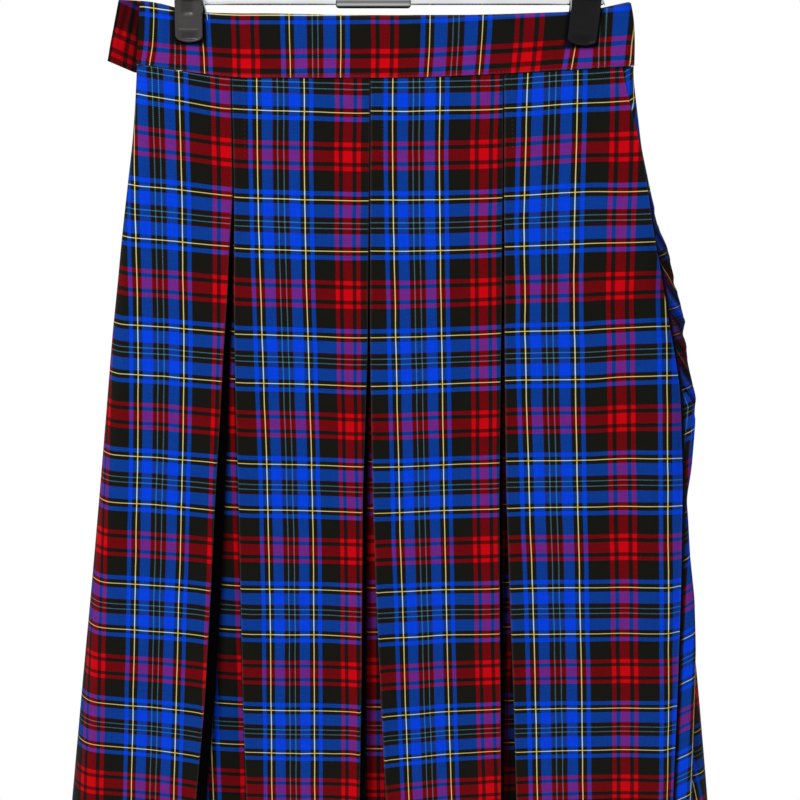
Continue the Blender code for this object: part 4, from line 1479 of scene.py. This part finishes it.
def by_axis(tree, vector):
    """A place's three values, each a socket of its own."""
    node = tree.nodes.new("ShaderNodeSeparateXYZ")
    tree.links.new(vector, node.inputs[0])
    return node.outputs


def mark(tree, name):
    """A mark painted on the mesh from 0 to 1, by its name: wear with painted highlights, and painted shade.
    """
    node = tree.nodes.new("ShaderNodeAttribute")
    node.attribute_name = name
    return node.outputs["Fac"]


def add_bump(tree, shader, height, strength, distance_mm):
    """The shader's surface, raised by a height from 0 to 1."""
    node = tree.nodes.new("ShaderNodeBump")
    node.inputs["Strength"].default_value = strength
    node.inputs["Distance"].default_value = distance_mm * MM
    link(tree, height, node.inputs["Height"])
    tree.links.new(node.outputs[0], shader.inputs["Normal"])


def add_ramp(tree, share, stops):
    """A Color Ramp on a share. The stops are places and colours, the first at 0 and the last at 1."""
    node = tree.nodes.new("ShaderNodeValToRGB")
    elements = node.color_ramp.elements
    elements[0].color, elements[1].color = (*stops[0][1], 1), (*stops[-1][1], 1)
    for place, colour in stops[1:-1]:
        elements.new(place).color = (*colour, 1)
    tree.links.new(share, node.inputs[0])
    return node.outputs[0]


def sett(tree, place, text):
    """The colour and the yellow line of one direction's threads at a place in millimetres.

    The place runs back and forth over half a repeat. A ramp holds the colours with soft edges, and the
    yellow line is where the place is within half its width of its middle.
    """
    bands = [item.split() for item in text.replace("\n", " ").split(",")]
    names = [name for name, _ in bands]
    widths = [float(width) for _, width in bands]
    ends = [sum(widths[: n + 1]) for n in range(len(widths))]
    half = ends[-1]
    mirrored = sums(tree, "PINGPONG", place, half)
    stops = []
    for name, width, end in zip(names, widths, ends):
        first = end - width + (THREAD_BLUR if stops else 0)
        last = end - (THREAD_BLUR if end < half else 0)
        stops += [(first / half, THREADS[name]), (last / half, THREADS[name])]
    colour = add_ramp(tree, sums(tree, "DIVIDE", mirrored, half), stops)
    width, end = [(width, end) for name, width, end in zip(names, widths, ends) if name == "yellow"][0]
    off = sums(tree, "ABSOLUTE", sums(tree, "SUBTRACT", mirrored, end - width / 2))
    inside = sums(tree, "SUBTRACT", width / 2 + THREAD_BLUR, off)
    return colour, sums(tree, "MULTIPLY", inside, 0.5 / THREAD_BLUR, clamp=True)


def part_of(tree, colour, channel):
    """A colour's red, green or blue."""
    node = tree.nodes.new("ShaderNodeSeparateColor")
    tree.links.new(colour, node.inputs[0])
    return node.outputs[channel]


def crossing(tree, warp, weft, shown):
    """Two threads seen at once: a mix, bluer where just one is blue and duller where just one is red.

    Where one is blue and the other red the two differences have opposite signs, and the mix turns purple.
    """
    colour = blend_colours(tree, shown, warp, weft)
    apart = {}
    for channel, kind, tint in (("Blue", "ADD", BLUE_CAST), ("Red", "SUBTRACT", RED_CAST)):
        apart[channel] = sums(tree, "SUBTRACT", part_of(tree, warp, channel), part_of(tree, weft, channel))
        squared = sums(tree, "MULTIPLY", apart[channel], apart[channel])
        colour = blend_colours(tree, squared, colour, tint, kind)
    purple = sums(tree, "MULTIPLY", sums(tree, "MULTIPLY", apart["Blue"], apart["Red"]), -1.0, clamp=True)
    colour = blend_colours(tree, purple, colour, PURPLE_GAIN, "ADD")
    return blend_colours(tree, purple, colour, PURPLE_LOSS, "SUBTRACT")


def with_yellow(tree, colour, warp, weft, warp_line, weft_line):
    """The thin yellow lines, each over the other direction's dimmed thread, brightest where they cross."""
    for line, under in ((warp_line, weft), (weft_line, warp)):
        dimmed = blend_colours(tree, YELLOW_DIMS, under, BLACK)
        colour = blend_colours(tree, line, colour, blend_colours(tree, 1.0, YELLOW_THREAD, dimmed, "ADD"))
    return blend_colours(tree, sums(tree, "MULTIPLY", warp_line, weft_line), colour, YELLOW_CROSSING)


def finished(tree, shader, colour):
    """The shader's colour, darkened towards black by the painted shade mark."""
    tree.links.new(blend_colours(tree, mark(tree, "painted_shade"), colour, BLACK), shader.inputs["Base Color"])


def cloth_material(name):
    """Twill tartan from the piece's own cloth map.

    Where the two directions cross, each shows for about half, as the twill's diagonal ribs change which is
    on top. Colours are mixed as they are seen, and a gamma of 2.2 then turns them into light. Slubs and
    fuzz are noise that is stretched along the threads.
    """
    material, tree, shader = new_material(name)
    cloth_map = tree.nodes.new("ShaderNodeUVMap")
    cloth_map.uv_map = "cloth"
    scaled = stretched(tree, cloth_map.outputs["UV"], (1000, 1000, 1000))
    across, down, _ = by_axis(tree, scaled)
    wander = noise(tree, stretched(tree, scaled, (WANDER_SCALE, WANDER_SCALE, 1)), 1.0)
    wander = sums(tree, "MULTIPLY", sums(tree, "SUBTRACT", wander, 0.5), WANDER)
    warp, warp_line = sett(tree, sums(tree, "ADD", across, wander), SETT_ACROSS)
    weft, weft_line = sett(tree, sums(tree, "ADD", down, wander), SETT_DOWN)

    diagonal = sums(tree, "ADD", across, down)
    rib = sums(tree, "SINE", sums(tree, "MULTIPLY", diagonal, 2 * math.pi / TWILL_PITCH))
    fuzz = sums(tree, "SUBTRACT", noise(tree, scaled, FUZZ_SCALE, 3.0), 0.5)
    shown = sums(tree, "MULTIPLY_ADD", rib, RIB_SHOWS, 0.5)
    shown = sums(tree, "MULTIPLY_ADD", fuzz, FUZZ_SHOWS, shown, clamp=True)
    colour = crossing(tree, warp, weft, shown)
    colour = with_yellow(tree, colour, warp, weft, warp_line, weft_line)
    gamma = tree.nodes.new("ShaderNodeGamma")
    gamma.inputs["Gamma"].default_value = 2.2
    tree.links.new(colour, gamma.inputs[0])

    slub_across = noise(tree, stretched(tree, scaled, (SLUB_ALONG, SLUB_ACROSS, 1)), 1.0, 3.0)
    slub_down = noise(tree, stretched(tree, scaled, (SLUB_ACROSS, SLUB_ALONG, 1)), 1.0, 3.0)
    broad = noise(tree, stretched(tree, scaled, (BROAD_SCALE, BROAD_SCALE, 1)), 1.0)
    tone = sums(tree, "MULTIPLY_ADD", sums(tree, "ADD", slub_across, slub_down), SLUB_TONE, TONE)
    tone = sums(tree, "MULTIPLY_ADD", broad, BROAD_TONE, tone)
    toned = tree.nodes.new("ShaderNodeVectorMath")
    toned.operation = "SCALE"
    tree.links.new(gamma.outputs[0], toned.inputs[0])
    link(tree, tone, toned.inputs["Scale"])
    # A pale mix for wear and painted highlights, then the painted shade darkens the colour towards black.
    pale = sums(tree, "MULTIPLY", mark(tree, "wear_and_highlight"), WEAR_AND_HIGHLIGHT_SHARE)
    finished(tree, shader, blend_colours(tree, pale, toned.outputs[0], WEAR_AND_HIGHLIGHT_COLOUR))
    link(tree, sums(tree, "MULTIPLY_ADD", fuzz, 0.2, 0.86, clamp=True), shader.inputs["Roughness"])
    shader.inputs["Specular IOR Level"].default_value = 0.06
    shader.inputs["Sheen Weight"].default_value = 0.03
    shader.inputs["Sheen Roughness"].default_value = 0.5
    height = sums(tree, "MULTIPLY_ADD", fuzz, 0.8, rib)
    height = sums(tree, "MULTIPLY_ADD", slub_across, 1.2, height)
    add_bump(tree, shader, height, 0.35, CLOTH_BUMP)
    return material


def banded(tree, place, colour, bands):
    """Painted reflections: a colour multiplied by the shades of level bands, each given at its place below
    the hook.
    """
    first, last = bands[0][0], bands[-1][0]
    below = sums(tree, "ADD", by_axis(tree, place)[2], first * MM)
    share = sums(tree, "DIVIDE", below, (first - last) * MM, clamp=True)
    stops = [((drop - first) / (last - first), (shade, shade, shade)) for drop, shade in bands]
    return blend_colours(tree, 1.0, colour, add_ramp(tree, share, stops), "MULTIPLY")


def hard_material(name, colour, roughness, grain, scale, metallic=0.0, bump_mm=0.05, gloss=0.5, bands=None):
    """Plastic or metal: a colour and a roughness that vary by grain with fine noise, and a low bump."""
    material, tree, shader = new_material(name)
    place = tree.nodes.new("ShaderNodeTexCoord").outputs["Object"]
    fine = noise(tree, place, scale, 4.0)
    broad = noise(tree, place, scale * 0.06, 3.0)
    shift = sums(tree, "MULTIPLY", sums(tree, "SUBTRACT", fine, 0.5), grain)
    low = tuple(value * (1 - grain) for value in colour)
    high = tuple(min(value * (1 + grain), 1.0) for value in colour)
    final = blend_colours(tree, broad, low, high)
    # Painted reflections: level bands of light and dark.
    if bands:
        final = banded(tree, place, final, bands)
    finished(tree, shader, final)
    link(tree, sums(tree, "ADD", shift, roughness, clamp=True), shader.inputs["Roughness"])
    shader.inputs["Metallic"].default_value = metallic
    shader.inputs["Specular IOR Level"].default_value = gloss
    add_bump(tree, shader, fine, 0.5, bump_mm)
    return material


def finish_hanger():
    """Plated steel, spring steel and moulded plastic on the hanger's own solids, and the moulded jaws."""
    steel = {"metallic": 1.0, "bump_mm": 0.02}
    chrome = hard_material("plated steel", (0.74, 0.75, 0.76), roughness=0.16, grain=0.12, scale=900, **steel)
    spring = hard_material("spring steel", (0.42, 0.43, 0.45), roughness=0.32, grain=0.2, scale=1400, **steel)
    # The block's chrome carries painted reflections in light and dark bands, darkest at its underside.
    block = hard_material(
        "block with painted reflections", (0.9, 0.9, 0.91), roughness=0.16, grain=0.1, scale=900, bands=BLOCK_REFLECTION_BANDS, **steel,
    )
    plastic = {"roughness": 0.30, "scale": 2600}
    grey = hard_material("dark grey plastic", (0.050, 0.047, 0.046), grain=0.18, gloss=0.20, **plastic)
    black = hard_material("black plastic", (0.006, 0.006, 0.007), grain=0.15, gloss=0.11, **plastic)
    finishes = {"hanger_hook": chrome, "hanger_bar": chrome, "hanger_block": block}
    for side, moulded in (("left", grey), ("right", black)):
        for face in ("front", "back"):
            add_jaw(side, face, moulded)
        add_wire_arms(side, spring)
        finishes[f"clip_{side}_spring"] = spring
        for part in ("jaw_front", "jaw_back", "sleeve"):
            finishes[f"clip_{side}_{part}"] = moulded
    for name, material in finishes.items():
        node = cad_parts[name]
        if not node.material_slots:
            node.data.materials.append(material)
        for place in node.material_slots:
            place.link = "OBJECT"
            place.material = material


# The studio


def add_floor():
    """A plain pale floor, well below the hem: rings of points at FLOOR_RADII."""
    angle = np.linspace(0, 2 * np.pi, 96, endpoint=False)
    radius = np.array(FLOOR_RADII)[:, None]
    ring = np.stack([radius * np.cos(angle), radius * np.sin(angle), FLOOR_Z + 0 * radius * angle], axis=-1)
    material, _, shader = new_material("pale floor")
    shader.inputs["Base Color"].default_value = (0.93, 0.93, 0.93, 1)
    shader.inputs["Roughness"].default_value = 1.0
    shader.inputs["Specular IOR Level"].default_value = 0.0
    floor = add_mesh("floor", ring.reshape(-1, 3), ring_faces(*ring.shape[:2]), material)


def add_light(name, place, target):
    """A round soft light at place, turned to target."""
    data = bpy.data.lights.new(name, "AREA")
    data.shape = "DISK"
    data.size = LIGHT_SIZE * MM
    data.energy = LIGHT_POWER
    light = bpy.data.objects.new(name, data)
    light.location = Vector(place) * MM
    light.rotation_euler = (Vector(target) - Vector(place)).to_track_quat("-Z", "Y").to_euler()
    bpy.context.collection.objects.link(light)


def add_studio():
    """Even white surroundings, a key light from the upper left and the same from behind."""
    add_floor()
    add_light("key light", (-1150, -2250, 1500), (0, 0, -400))
    add_light("back light", (1150, 2250, 1500), (0, 0, -400))
    world = bpy.data.worlds.new("studio")
    bpy.context.scene.world = world
    world.use_nodes = True
    tree = world.node_tree
    background = tree.nodes["Background"]
    background.inputs[0].default_value = (1, 1, 1, 1)
    path = tree.nodes.new("ShaderNodeLightPath")
    seen = sums(tree, "MAXIMUM", path.outputs["Is Camera Ray"], path.outputs["Is Glossy Ray"])
    strength = sums(tree, "MULTIPLY_ADD", seen, 1.0 - WORLD_STRENGTH, WORLD_STRENGTH)
    tree.links.new(strength, background.inputs[1])
    bpy.context.scene.view_settings.view_transform = "Standard"


def add_camera():
    """The photo's own view: it stands at EYE and looks down a little."""
    data = bpy.data.cameras.new("camera")
    data.lens, data.sensor_width = LENS, SENSOR
    data.clip_start, data.clip_end = 0.01, 200.0
    camera = bpy.data.objects.new("camera", data)
    camera.location = Vector(EYE) * MM
    camera.rotation_euler = (math.radians(EYE_PITCH), 0, 0)
    bpy.context.collection.objects.link(camera)
    bpy.context.scene.camera = camera


def main():
    """The camera, the studio, the skirt's pieces and the hanger."""
    add_camera()
    add_studio()
    cloth = cloth_material("tartan twill")
    hard_material("sewing thread", (0.020, 0.018, 0.022), roughness=0.8, grain=0.2, scale=3000)
    add_panels("front", FRONT, cloth)
    add_front_edge_panel(cloth)
    add_side_panel(cloth)
    add_panels("back", BACK, cloth)
    add_back_wrap_panel(cloth)
    add_band("front", BAND_LEFT, FRONT_LEAN, cloth)
    add_band("back", TAB_END, TAB_LEAN, cloth)
    finish_hanger()


main()
